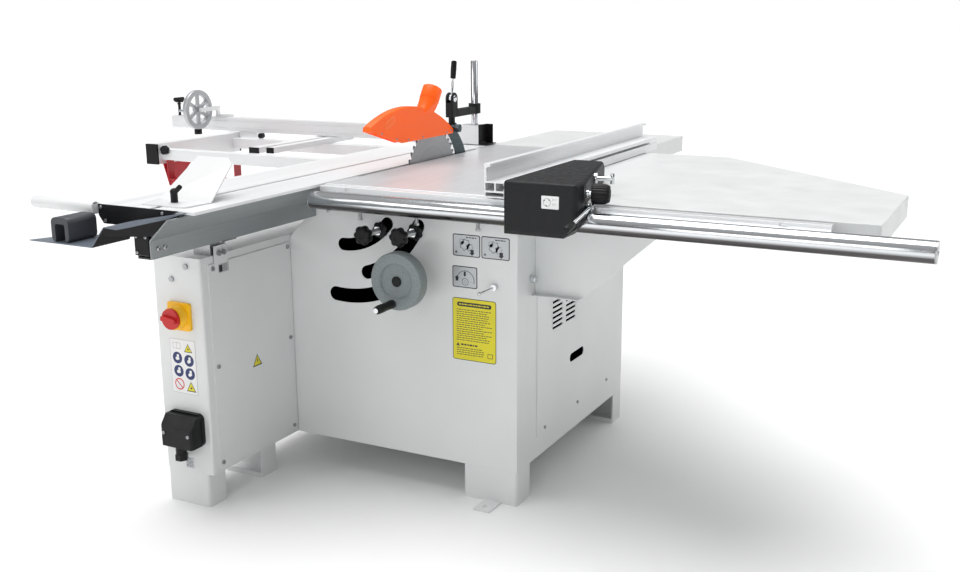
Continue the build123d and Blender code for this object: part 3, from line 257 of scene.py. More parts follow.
WHITE = (0.70, 0.715, 0.715)
LOOKS = {
    "white_paint": powder_coat("powder_white", WHITE),
    "cast_table": ground_iron("ground_iron"),
    "alu": extruded("anodised_y"),
    "alu_x": extruded("anodised_x", along=0),
    "alu_light": extruded("satin_y", (0.84, 0.85, 0.86), metallic=0.25, roughness=0.4),
    "alu_light_x": extruded("satin_x", (0.84, 0.85, 0.86), along=0, metallic=0.25, roughness=0.4),
    "disc_alu": extruded("cast_alloy", (0.50, 0.51, 0.53), metallic=0.7, roughness=0.36),
    "blade": turned_disc("blade_steel"),
    # alu_shade: darkened aluminium for the beam cover, painted shade where the cover sits under the table
    "alu_shade": extruded("alu_painted_shade_y", (0.30, 0.32, 0.33), metallic=0.55, roughness=0.42),
    "steel": polished("bright_steel", (0.40, 0.41, 0.42), 0.26),
    "dark_steel": polished("blued_steel", (0.09, 0.12, 0.13), 0.34, along=1),
    "chrome": polished("chrome", (0.66, 0.68, 0.70), 0.13, along=0),
    "rail": rail_chrome("rail_chrome"),
    "chrome_z": polished("chrome_upright", (0.70, 0.72, 0.76), 0.12, along=2),
    "black_plastic": moulded("black_plastic", (0.006, 0.006, 0.007), 0.4, Specular_IOR_Level=0.25),
    "dark_grey_plastic": moulded("dark_grey_plastic", (0.045, 0.048, 0.056), 0.45, 0.0001, 900.0),
    # void_black: near-black with almost no sheen, painted shade for the dark inside of the cabinet and the tilt
    # frame seen through its slots
    "void_black": moulded("painted_shade_black", (0.003, 0.003, 0.003), 0.7, 0.0001, 500.0, Specular_IOR_Level=0.02),
    # beam_shade: near-black for the fixed beam, painted shade for the dark space under the beam cover
    "beam_shade": extruded("beam_painted_shade", (0.045, 0.047, 0.05), metallic=0.3, roughness=0.5),
    "black_cast": cast_paint("black_wrinkle", (0.008, 0.0085, 0.010)),
    "grey_paint": powder_coat("powder_slate", (0.13, 0.155, 0.19), 0.4),
    "wheel_grey": cast_paint("wheel_hammer", (0.22, 0.25, 0.255), 0.42),
    "red_paint": powder_coat("powder_red", (0.42, 0.010, 0.018), 0.36),
    # guard_orange carries a faint emission: painted light that brightens the guard's faces
    "guard_orange": moulded("guard_orange", (1.0, 0.125, 0.006), 0.36, 0.00003, 900.0,
                            Specular_IOR_Level=0.34, Emission_Color=(1.0, 0.11, 0.006, 1.0),
                            Emission_Strength=0.2),
    # guard_rim_highlight: lighter orange, painted highlight on the raised oval ring of the guard
    "guard_rim_highlight": moulded("guard_rim_highlight", (1.0, 0.26, 0.07), 0.36, 0.00003, 900.0),
    "yellow_plastic": moulded("isolator_yellow", (0.90, 0.50, 0.01), 0.33, 0.00003),
    "red_plastic": moulded("isolator_red", (0.55, 0.008, 0.008), 0.3, 0.00003),
    "label": moulded("label_base", (0.8, 0.8, 0.8), 0.3, 0.00001),
    "motor_paint": powder_coat("motor_enamel", (0.05, 0.085, 0.14), 0.38),
    "belt": moulded("belt_rubber", (0.02, 0.02, 0.02), 0.7, 0.0002, 600.0),
}
INKS = {
    "white": moulded("ink_white", (0.80, 0.80, 0.80), 0.35, 0.00001),
    "silver": moulded("ink_silver", (0.50, 0.52, 0.54), 0.34, 0.00001, Metallic=0.3),
    "black": moulded("ink_black", (0.014, 0.014, 0.016), 0.35, 0.00001),
    "grey": moulded("ink_grey", (0.30, 0.31, 0.34), 0.35, 0.00001),
    "navy": moulded("ink_navy", (0.010, 0.022, 0.12), 0.33, 0.00001),
    "yellow": moulded("ink_yellow", (0.70, 0.62, 0.010), 0.33, 0.00001),
    "red": moulded("ink_red", (0.62, 0.015, 0.015), 0.33, 0.00001),
}
NODE_LOOK = {
    "fence_rail": "rail", "crosscut_fence": "alu_light_x", "fence_extension": "alu_light_x",
    "fence_scale_profile": "alu_x", "sliding_table": "alu_light", "rip_fence": "alu_light",
    "outrigger_frame": "alu_light", "operator_handle": "dark_grey_plastic", "riving_knife": "dark_steel",
    # tilt_frame in void_black: painted shade behind the cabinet slots
    "stop_disc": "disc_alu", "tilt_frame": "void_black", "trunnion_guides": "black_cast",
    # beam_cover in alu_shade and fixed_beam in beam_shade are darkened: painted shade
    "beam_cover": "alu_shade", "fixed_beam": "beam_shade", "push_handle": "white_paint",
}


def dress(node, material):
    """Gives a whole CAD solid one material."""
    obj = NODES[node]
    if not obj.data.materials:
        obj.data.materials.append(material)
    for slot in obj.material_slots:
        slot.material = material


def second_look(node, material, wanted):
    """Gives some faces of a CAD solid another material; wanted(place, normal) picks them."""
    obj = NODES[node]
    obj.data.materials.append(material)
    for face in obj.data.polygons:
        if wanted(obj.matrix_world @ face.center, face.normal):
            face.material_index = len(obj.data.materials) - 1


def soften(obj, width):
    """Rounds the sharp edges of a CAD solid the way deburring does, without touching its mesh data."""
    weld = obj.modifiers.new("weld", "WELD")
    weld.merge_threshold = 0.00001
    bevel = obj.modifiers.new("edge", "BEVEL")
    bevel.width = width
    bevel.segments = 2
    bevel.limit_method = "ANGLE"
    bevel.angle_limit = radians(35)
    bevel.use_clamp_overlap = True
    bevel.harden_normals = False


for entry in frame["record"]["subparts"]:
    name = entry["node"]
    dress(name, LOOKS[NODE_LOOK.get(name, entry["material_slot"])])

# ---- mesh helpers -------------------------------------------------------------------------
def facing(start, axis):
    """Matrix that puts a local origin at start and local Z along axis."""
    turn = Vector(axis).to_track_quat("Z", "Y").to_matrix().to_4x4()
    return Matrix.Translation(start) @ turn


def piece(name, mesh, body, look, matrix=None, smooth=40):
    """Links a finished bmesh as an object that moves with a CAD body."""
    bmesh.ops.recalc_face_normals(mesh, faces=mesh.faces)
    data = bpy.data.meshes.new(name)
    mesh.to_mesh(data)
    mesh.free()
    data.materials.append(look)
    obj = bpy.data.objects.new(name, data)
    bpy.context.scene.collection.objects.link(obj)
    if matrix is not None:
        obj.matrix_world = matrix
    data.shade_smooth()
    data.set_sharp_from_angle(angle=radians(smooth))
    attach(obj, body)
    return obj


def turned(name, profile, start, axis, body, look, steps=64, shape=None, closed=False, smooth=40):
    """Turned piece. profile holds (radius, height) in millimetres; shape(angle, radius) scales the radius."""
    mesh = bmesh.new()
    rings = []
    for radius, height in profile:
        ring = []
        for i in range(steps):
            a = 2 * pi * i / steps
            r = radius * (shape(a, radius) if shape else 1.0) * MM
            ring.append(mesh.verts.new((r * cos(a), r * sin(a), height * MM)))
        rings.append(ring)
    pairs = list(zip(rings, rings[1:]))
    if closed:
        pairs.append((rings[-1], rings[0]))
    for low_ring, high_ring in pairs:
        for i in range(steps):
            j = (i + 1) % steps
            mesh.faces.new((low_ring[i], low_ring[j], high_ring[j], high_ring[i]))
    if not closed:
        mesh.faces.new(list(reversed(rings[0])))
        mesh.faces.new(rings[-1])
    return piece(name, mesh, body, look, facing(start, axis), smooth)


def lobes(count, depth, outer):
    """Radius factor of a lobed knob: full on a lobe, shallower towards the centre."""
    def factor(angle, radius):
        return 1 - depth * (radius / outer) ** 2 * (0.5 - 0.5 * cos(count * angle)) ** 1.6
    return factor


def screw_heads(name, places, axis, radius, height, body, look):
    """One mesh of screws: a domed head with a hexagon socket at each place."""
    mesh = bmesh.new()
    profile = [(1.0, 0.0), (1.0, 0.45), (0.86, 0.85), (0.6, 1.0), (0.46, 1.0), (0.44, 0.45)]
    steps = 24
    for place in places:
        matrix = facing(place, axis)
        rings = []
        for k, (r, h) in enumerate(profile):
            ring = []
            for i in range(steps):
                a = 2 * pi * i / steps
                hexagon = cos(pi / 6) / cos((a % (pi / 3)) - pi / 6) if k >= 4 else 1.0
                reach = r * hexagon * radius * MM
                local = Vector((reach * cos(a), reach * sin(a), h * height * MM))
                ring.append(mesh.verts.new(matrix @ local))
            rings.append(ring)
        for low_ring, high_ring in zip(rings, rings[1:]):
            for i in range(steps):
                j = (i + 1) % steps
                mesh.faces.new((low_ring[i], low_ring[j], high_ring[j], high_ring[i]))
        mesh.faces.new(rings[-1])
    return piece(name, mesh, body, look)


def at(x, y, z):
    """Point given in millimetres from the front right corner of the main cabinet, on the floor."""
    return CORNER + Vector((x, y, z)) * MM


cab_low, cab_high, _ = span("cabinet_shell")
CORNER = Vector((cab_high.x, cab_low.y, 0.0))


def inside_cabinet(place, normal):
    """Picks the inner faces of the cabinet's sheet: away from the outer walls and turned inwards."""
    inset = min(place.x - cab_low.x, cab_high.x - place.x, place.y - cab_low.y, cab_high.y - place.y)
    middle = (cab_low + cab_high) / 2
    return inset > 2 * MM and (middle - place).dot(normal) > 0


# the cabinet sheet's inner faces in near-black: painted shade for the unlit interior
second_look("cabinet_shell", LOOKS["void_black"], inside_cabinet)

# ---- lock knobs, handwheel and crank ------------------------------------------------------
for side in ("left", "right"):
    node = f"lock_knob_{side}"
    body = RIDES[node]
    hub = JOINT_AT[f"{node}_turn"]
    front = Vector((hub.x, span(node)[0].y, hub.z))
    knob = [(0.5, 1.6), (7, 1.6), (8, 0.4), (17, 0), (22, 1.2), (26, 5), (27, 9), (27, 18), (25, 22),
            (14, 24), (11, 27), (0.5, 27)]
    star = turned(f"{node}_star", knob, front, (0, 1, 0), body, LOOKS["black_plastic"], 112,
                  lobes(7, 0.16, 27))
    disc = [(0.5, 0), (14, 0), (19, 0.8), (23, 3), (24, 5), (24, 8), (22, 9), (0.5, 9)]
    back = turned(f"{node}_disc", disc, front + Vector((0, 90 * MM, 0)), (0, 1, 0), body,
                  LOOKS["black_plastic"], 112, lobes(7, 0.14, 24))
    nut = turned(f"{node}_nut", [(13, 0), (13, 9)], front + Vector((0, 81 * MM, 0)), (0, 1, 0), body,
                 LOOKS["chrome"], 6, smooth=20)
    ridge = [(7.4 if k % 2 else 8.0, 26 + k) for k in range(57)]
    stud = turned(f"{node}_stud", ridge, front, (0, 1, 0), body, LOOKS["steel"], 32)
    shank = turned(f"{node}_shank", [(8, 99), (8, 236)], front, (0, 1, 0), body, LOOKS["steel"], 32)
    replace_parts(star, node)

crank_front = span("handwheel")[0].y
hub = JOINT_AT["handwheel_turn"]
rim_front = Vector((hub.x, crank_front + 86 * MM, hub.z))
wheel_profile = [(8.5, 8), (15, 8), (43, 8), (46, 7.2), (48, 3), (50, 0.8), (53, 0), (71, 0), (75.5, 1.2),
                 (78, 5), (78, 34), (76.5, 37), (74, 37.5), (72.5, 36), (72, 16), (50, 15), (20, 15),
                 (18, 34), (8.5, 34)]
wheel = turned("handwheel_rim", wheel_profile, rim_front, (0, 1, 0), RIDES["handwheel"],
               LOOKS["wheel_grey"], 96, closed=True)
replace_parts(wheel, "handwheel")
cap = [(0.5, 2.5), (9, 2.5), (12.5, 3.2), (14, 5), (14, 9), (0.5, 9)]
turned("handwheel_cap", cap, rim_front, (0, 1, 0), RIDES["handwheel"], LOOKS["black_plastic"], 40)
turned("handwheel_shaft", [(8, 9), (8, 261)], rim_front, (0, 1, 0), RIDES["handwheel"], LOOKS["steel"], 40)
grip_low, grip_high, grip_mid = span("crank_grip")
pin_front = Vector((grip_mid.x, crank_front, grip_mid.z))
pin = [(0.5, 0.6), (3, 0.6), (3.4, 0), (7, 0), (7, 3), (4, 3.4), (4, 92), (0.5, 92)]
turned("crank_pin", pin, pin_front, (0, 1, 0), RIDES["handwheel"], LOOKS["chrome"], 32)
depth = (grip_high.y - grip_low.y) / MM
grip_profile = [(4.06, 0.5), (9, 0), (10.4, 1), (11.6, 8), (11.9, 24), (11.2, 44), (12.0, 66),
                (11.4, depth - 2), (9.6, depth), (4.06, depth)]
grip_front = Vector((grip_mid.x, grip_low.y, grip_mid.z))
grip = turned("crank_grip_shell", grip_profile, grip_front, (0, 1, 0), RIDES["crank_grip"],
              LOOKS["black_plastic"], 56, closed=True)
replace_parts(grip, "crank_grip")

# ---- blade, operator's plate and fence tee ------------------------------------------------
BLADE_R = 157.5
TEETH = 40
TOOTH_DEPTHS = (0.0, 0.6, 2.0, 4.0, 8.0, 12.5, 13.5, 13.2, 10.5, 3.0)
RIM_STEPS = TEETH * len(TOOTH_DEPTHS)


def tooth(angle, radius):
    """Coarse teeth cut into the rim: steep front, sloping back, rounded gullet."""
    if radius < BLADE_R:
        return 1.0
    step = int(round(angle / (2 * pi) * RIM_STEPS)) % len(TOOTH_DEPTHS)
    return 1 - TOOTH_DEPTHS[step] / BLADE_R


arbor = JOINT_AT["blade_spin"]
blade_low = span("saw_blade")[0]
blade_left = Vector((blade_low.x, arbor.y, arbor.z))
disc = [(12.6, 0), (60, 0), (142.5, 0), (BLADE_R, 0), (BLADE_R, 2.4), (142.5, 2.4), (60, 2.4), (12.6, 2.4)]
blade = turned("saw_blade_disc", disc, blade_left, (1, 0, 0), RIDES["saw_blade"], LOOKS["blade"], RIM_STEPS,
               tooth, closed=True)
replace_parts(blade, "saw_blade")

# a thin black sheet over the folded front edge of the operator plate: painted shade, for the edge in shade under
# the strip
edge_outline = [(-735, -700.6, 837), (-708, -686.7, 832), (-684, -674.3, 837), (-600, -631, 857),
                (-576, -618.6, 866.6), (-576, -618.6, 866), (-600, -631, 849), (-640, -651.6, 816),
                (-735, -700.6, 816)]
apron = bmesh.new()
front = [apron.verts.new(at(x - 0.25, y + 0.1, z)) for x, y, z in edge_outline]
rear = [apron.verts.new(at(x, y + 0.9, z)) for x, y, z in edge_outline]
apron.faces.new(front)
apron.faces.new(list(reversed(rear)))
for i in range(len(front)):
    j = (i + 1) % len(front)
    apron.faces.new((front[i], rear[i], rear[j], front[j]))
piece("operator_plate_painted_shade", apron, RIDES["operator_plate"], LOOKS["black_plastic"])
# the operator plate's downward faces in black: painted shade under the plate
second_look("operator_plate", LOOKS["black_plastic"], lambda place, normal: normal.z < -0.05)
tee_from = span("crosscut_fence")[1].z + 2 * MM
second_look("fence_extension", LOOKS["black_plastic"], lambda place, normal: place.z > tee_from)

# ---- printed plates -----------------------------------------------------------------------
def rounded(width, height, radius, steps=6):
    """Outline of a rounded rectangle about its centre, millimetres."""
    points = []
    for k, (sx, sy) in enumerate(((1, 1), (-1, 1), (-1, -1), (1, -1))):
        for i in range(steps + 1):
            a = pi / 2 * (k + i / steps)
            points.append((sx * (width / 2 - radius) + radius * cos(a),
                           sy * (height / 2 - radius) + radius * sin(a)))
    return points


def circle(radius, steps=36):
    """Outline of a circle about its centre, millimetres."""
    return [(radius * cos(2 * pi * i / steps), radius * sin(2 * pi * i / steps)) for i in range(steps)]


def moved(points, x, y, turn=0.0):
    """Outline turned about its origin, then carried to x, y."""
    return [(x + px * cos(turn) - py * sin(turn), y + px * sin(turn) + py * cos(turn)) for px, py in points]


def triangle(size):
    """Outline of a level triangle, size wide, with its point up."""
    return [(-size / 2, -size * 0.43), (size / 2, -size * 0.43), (0, size * 0.43)]


def arrow(stem, head, foot, neck, tip):
    """Outline of an arrow pointing up: half widths of stem and head, then heights of foot, neck and tip."""
    return [(-stem, foot), (stem, foot), (stem, neck), (head, neck), (0, tip), (-head, neck), (-stem, neck)]


class Prints:
    """Flat plates and inks on one face of a body, stacked a few hundredths of a millimetre apart."""

    def __init__(self, name, body):
        self.name, self.body = name, body
        self.mesh = bmesh.new()
        self.inks = []

    def face_on(self, origin, right_way, up_way):
        """Sets the plane that the next prints lie on."""
        self.origin, self.u, self.v = origin, Vector(right_way), Vector(up_way)
        self.normal = self.u.cross(self.v)

    def lay(self, outline, lift, ink):
        """One filled outline, standing lift millimetres off the plane."""
        if ink not in self.inks:
            self.inks.append(ink)
        rings = []
        for height in (-0.05, lift):
            points = [self.origin + (self.u * x + self.v * y + self.normal * height) * MM for x, y in outline]
            rings.append([self.mesh.verts.new(point) for point in points])
        count = len(outline)
        faces = [self.mesh.faces.new(rings[1])]
        for i in range(count):
            j = (i + 1) % count
            faces.append(self.mesh.faces.new((rings[0][i], rings[0][j], rings[1][j], rings[1][i])))
        for face in faces:
            face.material_index = self.inks.index(ink)

    def rows(self, left, top, width, count, pitch, height, ink, lift=0.62, seed=1.0):
        """Rows of short dashes that stand for a block of text."""
        for row in range(count):
            x, limit = left, width * (0.72 + 0.28 * abs(sin(seed + row * 1.7)))
            k = 0
            while x < left + limit - 3:
                length = 3 + 6 * abs(sin(seed * 3 + row * 2.3 + k * 1.9))
                length = min(length, left + limit - x)
                dash = rounded(length, height, height * 0.3, 2)
                self.lay(moved(dash, x + length / 2, top - row * pitch), lift, ink)
                x += length + 1.6
                k += 1

    def finish(self):
        """The plates as one object, with an ink for each material slot."""
        made = piece(self.name, self.mesh, self.body, INKS[self.inks[0]], smooth=30)
        for ink in self.inks[1:]:
            made.data.materials.append(INKS[ink])
        return made


prints = Prints("printed_plates", "base")
box_front = (span("support_box")[0].y - CORNER.y) / MM
x_way, y_way, z_way = (1, 0, 0), (0, 1, 0), (0, 0, 1)
# pictogram plate: plain discs, triangles and a ring
prints.face_on(at(-810, box_front, 398), x_way, z_way)
prints.lay(rounded(88, 152, 3), 0.46, "grey")
prints.lay(rounded(86.4, 150.4, 2.4), 0.52, "white")
prints.lay(moved(rounded(26, 17, 3), -20, 57), 0.56, "grey")
prints.lay(moved(rounded(24, 15, 2.4), -20, 57), 0.60, "white")
prints.lay(moved(rounded(0.9, 15, 0.3, 2), -20, 57), 0.64, "grey")
for x, y in ((-20, 23), (20, 19), (-18, -14), (21, -18)):
    prints.lay(moved(circle(16.4), x, y), 0.56, "navy")
    prints.lay(moved(rounded(13, 9, 4), x, y - 2, 0.3 + x * 0.01), 0.60, "white")
    prints.lay(moved(circle(4.2, 20), x + 2, y + 6), 0.62, "white")
for x, y, size in ((19, 54, 28), (22, -54, 33)):
    prints.lay(moved(triangle(size), x, y), 0.56, "black")
    prints.lay(moved(triangle(size * 0.8), x, y - size * 0.015), 0.60, "yellow")
    prints.lay(moved(circle(size * 0.09, 18), x, y - size * 0.12), 0.64, "black")
prints.lay(moved(circle(16.4), -18, -51), 0.56, "red")
prints.lay(moved(circle(13.2), -18, -51), 0.60, "white")
prints.lay(moved(rounded(28, 3, 1), -18, -51, -0.8), 0.64, "red")
# small rating sticker below the cable gland
prints.face_on(at(-811, box_front, 122), x_way, z_way)
prints.lay(rounded(29, 32, 1.5), 0.50, "silver")
prints.rows(-12, 12, 24, 7, 3.9, 1.6, "black", 0.56, 2.0)
# sticker and warning triangle on the electrical cover
cover_x = (span("electrical_cover")[1].x - CORNER.x) / MM - 2.5
prints.face_on(at(cover_x, -297, 662.7), y_way, z_way)
prints.lay(rounded(42, 25.4, 1.2), 0.50, "silver")
prints.lay(moved(rounded(14, 19, 1), -12, -0.5), 0.56, "black")
prints.rows(-2, 8, 21, 5, 4.1, 1.6, "black", 0.56, 3.1)
prints.face_on(at(cover_x, -178, 371), y_way, z_way)
prints.lay(triangle(40), 0.50, "black")
prints.lay(moved(triangle(31), 0, -0.6), 0.56, "yellow")
prints.lay(moved(rounded(3, 11, 1.2), 0, -1, 0.2), 0.60, "black")
# three silver panes on the front panel: two with lobed knobs, one with a dial and arrows
PANES = ((-150, 719, 82, 60, "knob"), (-63.5, 719, 83, 60, "knob"), (-155.5, 632.5, 75, 59, "dial"))
for cx, cz, width, height, kind in PANES:
    prints.face_on(at(cx, 0, cz), x_way, z_way)
    prints.lay(rounded(width, height, 5), 0.44, "black")
    prints.lay(rounded(width - 5, height - 5, 3.5), 0.50, "silver")
    if kind == "knob":
        for x, y, r in ((-4, 2, 15), (9, -4, 10), (-14, 9, 8)):
            swell = [1 + 0.12 * cos(7 * 2 * pi * i / 36) for i in range(36)]
            outline = [(px * factor, py * factor) for factor, (px, py) in zip(swell, circle(r))]
            prints.lay(moved(outline, x, y), 0.53, "black")
            prints.lay(moved([(px * 0.9, py * 0.9) for px, py in outline], x, y), 0.56, "silver")
        prints.lay(moved(arrow(5, 8, -6, 3, 10), 17, -16, pi), 0.60, "black")
        prints.lay(moved(triangle(8), -31, -18), 0.60, "black")
        prints.rows(-1, 22, 34, 1, 4, 3.0, "black", 0.60, 1.3)
    else:
        half = [(27 * cos(pi * k / 18), 27 * sin(pi * k / 18)) for k in range(19)]
        prints.lay(moved(half, 2, -9, -0.25), 0.53, "black")
        prints.lay(moved([(px * 0.93, py * 0.93) for px, py in half], 2, -8.6, -0.25), 0.56, "silver")
        dial = ((10, "black", 0.58), (8.6, "silver", 0.60), (4, "black", 0.62), (3, "silver", 0.64))
        for r, ink, lift in dial:
            prints.lay(moved(circle(r), 1, -13), lift, ink)
        prints.lay(moved(arrow(3, 5, -6, 2, 8), 0, 9, pi), 0.66, "black")
        prints.lay(moved(arrow(4, 7, -6, 2, 9), -24, -6), 0.66, "black")
# yellow plate with a dark band and rows of dashes
prints.face_on(at(-128, 0, 487), x_way, z_way)
prints.lay(rounded(132, 174, 7), 0.44, "black")
prints.lay(rounded(128.5, 170.5, 5.6), 0.50, "yellow")
prints.lay(moved(rounded(104, 12, 5.5), 0, 70), 0.56, "black")
prints.rows(-46, 70, 94, 1, 4, 3.2, "yellow", 0.62, 4.4)
prints.rows(-54, 55, 108, 15, 6.1, 2.1, "black", 0.58, 5.2)
prints.lay(moved(triangle(11), -50, -43), 0.58, "black")
prints.rows(-41, -43, 60, 1, 4, 4.6, "black", 0.58, 0.7)
prints.rows(-54, -53, 92, 4, 6.0, 2.1, "black", 0.58, 6.9)
prints.lay(moved(rounded(16, 13, 2), 48, -67), 0.56, "black")
prints.lay(moved(rounded(13, 10, 1.4), 48, -67), 0.60, "yellow")
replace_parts(prints.finish(), "label_plates")

# white sticker on the front of the rip-fence casting
cast_front = (span("fence_casting")[0].y - CORNER.y) / MM
sticker = Prints("casting_sticker", RIDES["fence_casting"])
sticker.face_on(at(171.5, cast_front, 884.5), x_way, z_way)
sticker.lay(rounded(45, 31, 2), 0.5, "white")
sticker.lay(moved(circle(10), -8, 0), 0.54, "grey")
sticker.lay(moved(circle(8.8), -8, 0), 0.57, "white")
for turn in (0.6, 2.4, 4.3):
    sticker.lay(moved([(-1.6, 0), (1.6, 0), (0, 6)], -8 + 8 * cos(turn), 8 * sin(turn), turn), 0.62, "black")
for x, y in ((8, 7), (14, 7), (8, -4), (14, -4)):
    sticker.lay(moved(rounded(4, 5, 1.8, 3), x, y), 0.54, "grey")
    sticker.lay(moved(rounded(2.8, 3.8, 1.2, 3), x, y), 0.57, "white")
sticker.finish()

# ---- grips, caps and small hardware -------------------------------------------------------
def capsule(name, start, end, radius, body, look, bulge=1.0):
    """Round-ended grip between two points."""
    start, end = Vector(start), Vector(end)
    length = (end - start).length / MM
    steps = [(0.25, 0), (0.7, 0.6), (0.95, 2.4), (1, 5), (bulge, length * 0.55), (1.02, length - 5),
             (0.9, length - 2), (0.55, length - 0.4), (0.2, length)]
    profile = [(radius * share, height) for share, height in steps]
    return turned(name, profile, start, end - start, body, look, 32)


# hold-down clamp
column_x = -613
lever_body = RIDES["hold_down_lever"]
capsule("hold_down_grip", at(column_x, 776, 1104), at(column_x, 785.5, 1164), 9.3, lever_body,
        LOOKS["black_plastic"], 1.06)
turned("hold_down_eye", [(2, 0), (9, 0.3), (12, 1.6), (13.2, 4), (13.2, 27), (12, 29.4), (9, 30.7), (2, 31)],
       at(column_x - 15.5, 765, 1040), (1, 0, 0), lever_body, LOOKS["chrome_z"], 40)
turned("hold_down_column", [(6, 0), (12.53, 0), (12.53, 219), (11.6, 220.2), (2, 220.2)],
       at(column_x, 930, 938), (0, 0, 1), RIDES["fence_fittings"], LOOKS["chrome_z"], 48)
# rip-fence clamp lever
clamp_body = RIDES["clamp_lever"]
capsule("clamp_lever_grip", at(248, -222, 846.9), at(248, -266, 838), 8.6, clamp_body,
        LOOKS["black_plastic"], 1.05)
turned("clamp_lever_hub", [(3, 0), (9.4, 0), (10.4, 1.2), (10.4, 6), (9, 7.4), (5.5, 8), (5, 9), (1, 9)],
       at(245, -112, 868), (1, 0, 0), clamp_body, LOOKS["chrome"], 36)
# tee knob at the outer end of the crosscut fence
tee_body = RIDES["fence_extension"]
turned("extension_stem", [(5.4, 0), (5.4, 42), (7, 46), (9, 50), (1, 50)],
       at(-1958, 930, 921), (0, 0, 1), tee_body, LOOKS["black_plastic"], 32)
turned("extension_tee", [(1, 0), (14, 0), (17, 1.5), (18, 4), (18, 9), (16.5, 12), (12, 13.6), (1, 14)],
       at(-1958, 930, 974), (0, 0, 1), tee_body, LOOKS["black_plastic"], 96, lobes(5, 0.2, 18))
# knob that holds the guard to the riving knife
rise_body = RIDES["riving_knife"]
knife_knob = [(3, 0), (9.4, 0), (9.8, 1), (9.8, 7), (8.6, 8), (12, 9.5), (13.5, 12), (13.5, 26), (12, 29),
              (8, 30.4), (1, 30.6)]
turned("knife_knob", knife_knob, at(-538, 632, 957), (1, 0, 0), rise_body, LOOKS["dark_steel"], 80,
       lobes(6, 0.12, 13.5))
# fine-adjustment knob of the rip fence
adjust = JOINT_AT["fine_adjust_turn"]
taper = Vector(next(j["axis"] for j in frame["joints"] if j["name"] == "fine_adjust_turn")).normalized()
adjust_body = RIDES["fine_adjust_knob"]
neck = turned("fine_adjust_neck", [(5, 0.4), (8.9, 0.4), (8.9, 7), (6.4, 8), (6.4, 15), (3, 15)],
              adjust, taper, adjust_body, LOOKS["chrome"], 40)
ribs = [(3, 14), (22, 14), (24.2, 15.2), (25, 17), (25, 40), (24.2, 46), (23, 51), (21, 55), (18.4, 57.6),
        (14, 58.4), (11.4, 58.5), (10.8, 57.4), (10.4, 56.8), (1, 56.8)]
knurl = turned("fine_adjust_grip", ribs, adjust, taper, adjust_body, LOOKS["black_plastic"], 192,
               lambda a, r: 1 - 0.045 * (r > 17) * (0.5 - 0.5 * cos(24 * a)) ** 0.7)
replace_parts(knurl, "fine_adjust_knob")
# blade guard: a row of screws on both sides and a raised oval ring on the right, its lighter orange a painted
# highlight
GUARD_RIGHT, GUARD_LEFT = -526, -554
OVAL_TILT = radians(21)
for side, x, way in (("right", GUARD_RIGHT, 1), ("left", GUARD_LEFT, -1)):
    spots = [at(x, y, z) for y, z in ((188, 980), (270, 957), (336, 949), (423, 949), (574, 949), (602, 953))]
    screw_heads(f"guard_screws_{side}", spots, (way, 0, 0), 3.6, 1.5, rise_body, LOOKS["steel"])
oval = Prints("guard_oval", rise_body)
oval.face_on(at(GUARD_RIGHT, 233, 1008), (0, cos(OVAL_TILT), sin(OVAL_TILT)),
             (0, -sin(OVAL_TILT), cos(OVAL_TILT)))
oval.lay(rounded(56, 20, 9.9), 1.2, "yellow")
oval.lay(rounded(49, 13, 6.4), 1.25, "red")
made = oval.finish()
# the oval's outer ring in lighter orange is painted highlight; its inner plate matches the guard
made.data.materials[0] = LOOKS["guard_rim_highlight"]
made.data.materials[1] = LOOKS["guard_orange"]
# screws and bolts on the fixed parts and the sliding table
hood_front = (span("socket_housing")[0].y - CORNER.y) / MM
spots = [at(x, hood_front, 222) for x in (-848, -764)]
screw_heads("inlet_screws", spots, (0, -1, 0), 5, 3, "base", LOOKS["steel"])
beam_front = (span("beam_end_caps")[0].y - CORNER.y) / MM
spots = [at(x, beam_front, z) for x, z in ((-722, 764), (-722, 803), (-692, 803))]
screw_heads("beam_cap_screws", spots, (0, -1, 0), 4.4, 2.4, "base", LOOKS["steel"])
spots = [at(-634, y, 784) for y in (-632, -610, 880, 1080)]
screw_heads("cover_bolts", spots, (1, 0, 0), 7, 4, "base", LOOKS["steel"])
spots = [at(x, -594, z) for x, z in ((-848, 862), (-835, 830), (-664, 832), (-650, 861))]
screw_heads("slider_cap_screws", spots, (0, -1, 0), 4.6, 2.6, RIDES["slider_end_caps"], LOOKS["steel"])

# ---- camera, light and floor --------------------------------------------------------------
centre = (CAD_LOW + CAD_HIGH) / 2
# the photograph's camera: eye in metres, angles in radians, lens in millimetres
EYE = Vector((1.7242, -2.9867, 1.3245))
YAW, PITCH, ROLL = 0.481, 0.2381, -0.0054
LENS = 42.486

forward = Vector((-sin(YAW) * cos(PITCH), cos(YAW) * cos(PITCH), -sin(PITCH)))
right = Vector((cos(YAW), sin(YAW), 0))
up = right.cross(forward)
level_right = cos(ROLL) * right + sin(ROLL) * up
level_up = -sin(ROLL) * right + cos(ROLL) * up
camera = bpy.data.objects.new("camera", bpy.data.cameras.new("camera"))
camera.data.lens = LENS
camera.data.clip_end = 200
camera.matrix_world = Matrix((
    (level_right.x, level_up.x, -forward.x, EYE.x),
    (level_right.y, level_up.y, -forward.y, EYE.y),
    (level_right.z, level_up.z, -forward.z, EYE.z),
    (0, 0, 0, 1),
))
bpy.context.scene.collection.objects.link(camera)
bpy.context.scene.camera = camera
bpy.context.scene.view_settings.view_transform = "Standard"

FLOOR = 60.0
floor_mesh = bpy.data.meshes.new("studio_floor")
floor_mesh.from_pydata([(-FLOOR, -FLOOR, 0), (FLOOR, -FLOOR, 0), (FLOOR, FLOOR, 0), (-FLOOR, FLOOR, 0)],
                       [], [(0, 1, 2, 3)])
floor = bpy.data.objects.new("studio_floor", floor_mesh)
bpy.context.scene.collection.objects.link(floor)
floor_look = Shader("studio_floor", 0.85)
floor_look.colour(floor_look.mix(floor_look.noise(0.4, 2.0), (0.85, 0.85, 0.85, 1), (0.86, 0.86, 0.86, 1)))
floor_mesh.materials.append(floor_look.material)

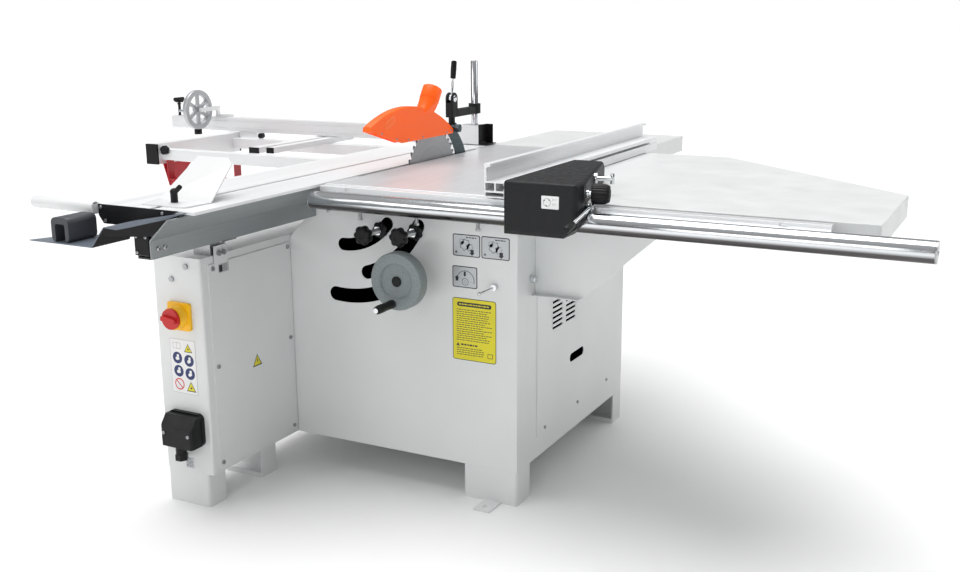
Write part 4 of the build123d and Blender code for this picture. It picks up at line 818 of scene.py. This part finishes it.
# sky: dim at the horizon, brighter overhead, and plain white where the camera looks past the floor
SKY_LOW, SKY_HIGH, SKY_FULL_AT = 0.10, 0.48, 0.7
world = bpy.data.worlds.new("studio") if not bpy.context.scene.world else bpy.context.scene.world
bpy.context.scene.world = world
world.use_nodes = True
sky = world.node_tree
back = sky.nodes["Background"]
way = sky.nodes.new("ShaderNodeTexCoord").outputs["Generated"]
height = sky.nodes.new("ShaderNodeSeparateXYZ")
sky.links.new(way, height.inputs[0])
shade = sky.nodes.new("ShaderNodeMapRange")
shade.inputs["From Min"].default_value = 0.0
shade.inputs["From Max"].default_value = SKY_FULL_AT
shade.inputs["To Min"].default_value = SKY_LOW
shade.inputs["To Max"].default_value = SKY_HIGH
sky.links.new(height.outputs["Z"], shade.inputs["Value"])
seen = sky.nodes.new("ShaderNodeLightPath")
either = sky.nodes.new("ShaderNodeMix")
sky.links.new(seen.outputs["Is Camera Ray"], either.inputs[0])
sky.links.new(shade.outputs[0], either.inputs[2])
either.inputs[3].default_value = 1.0
back.inputs["Color"].default_value = (1, 1, 1, 1)
sky.links.new(either.outputs[0], back.inputs["Strength"])

# a wide sun from overhead for the soft shadow, then three softboxes for the highlights
sun = bpy.data.lights.new("overhead", "SUN")
sun.energy = 2.9
sun.angle = radians(60)
sun_object = bpy.data.objects.new("overhead", sun)
sun_object.rotation_euler = Vector((0.12, -0.10, -1.0)).to_track_quat("-Z", "Y").to_euler()
bpy.context.scene.collection.objects.link(sun_object)


def softbox(name, place, aim, size, watts):
    """Rectangular area light at place, turned to aim; metres and watts."""
    lamp = bpy.data.lights.new(name, "AREA")
    lamp.shape = "RECTANGLE"
    lamp.size, lamp.size_y = size
    lamp.energy = watts
    obj = bpy.data.objects.new(name, lamp)
    obj.location = place
    obj.rotation_euler = (Vector(aim) - Vector(place)).to_track_quat("-Z", "Y").to_euler()
    bpy.context.scene.collection.objects.link(obj)


softbox("key", (-2.6, -3.6, 2.6), centre, (3.0, 1.6), 34)
softbox("front", (1.2, -4.4, 1.6), centre, (2.4, 1.4), 24)
softbox("rim", (4.0, 3.0, 3.0), centre, (2.5, 2.0), 30)

# how far each solid's edges are rounded, metres; the rest get the default
DEFAULT_EDGE = 0.0008
EDGES = {"fence_casting": 0.003, "hold_down_arm": 0.002, "rise_carriage": 0.002, "tilt_frame": 0.002,
         "isolator_base": 0.0015, "socket_housing": 0.002, "ripping_shoe": 0.0006, "operator_plate": 0.0005,
         "saw_blade": 0.0002, "riving_knife": 0.0004, "push_handle": 0.0005}
for name, obj in NODES.items():
    soften(obj, EDGES.get(name, DEFAULT_EDGE))
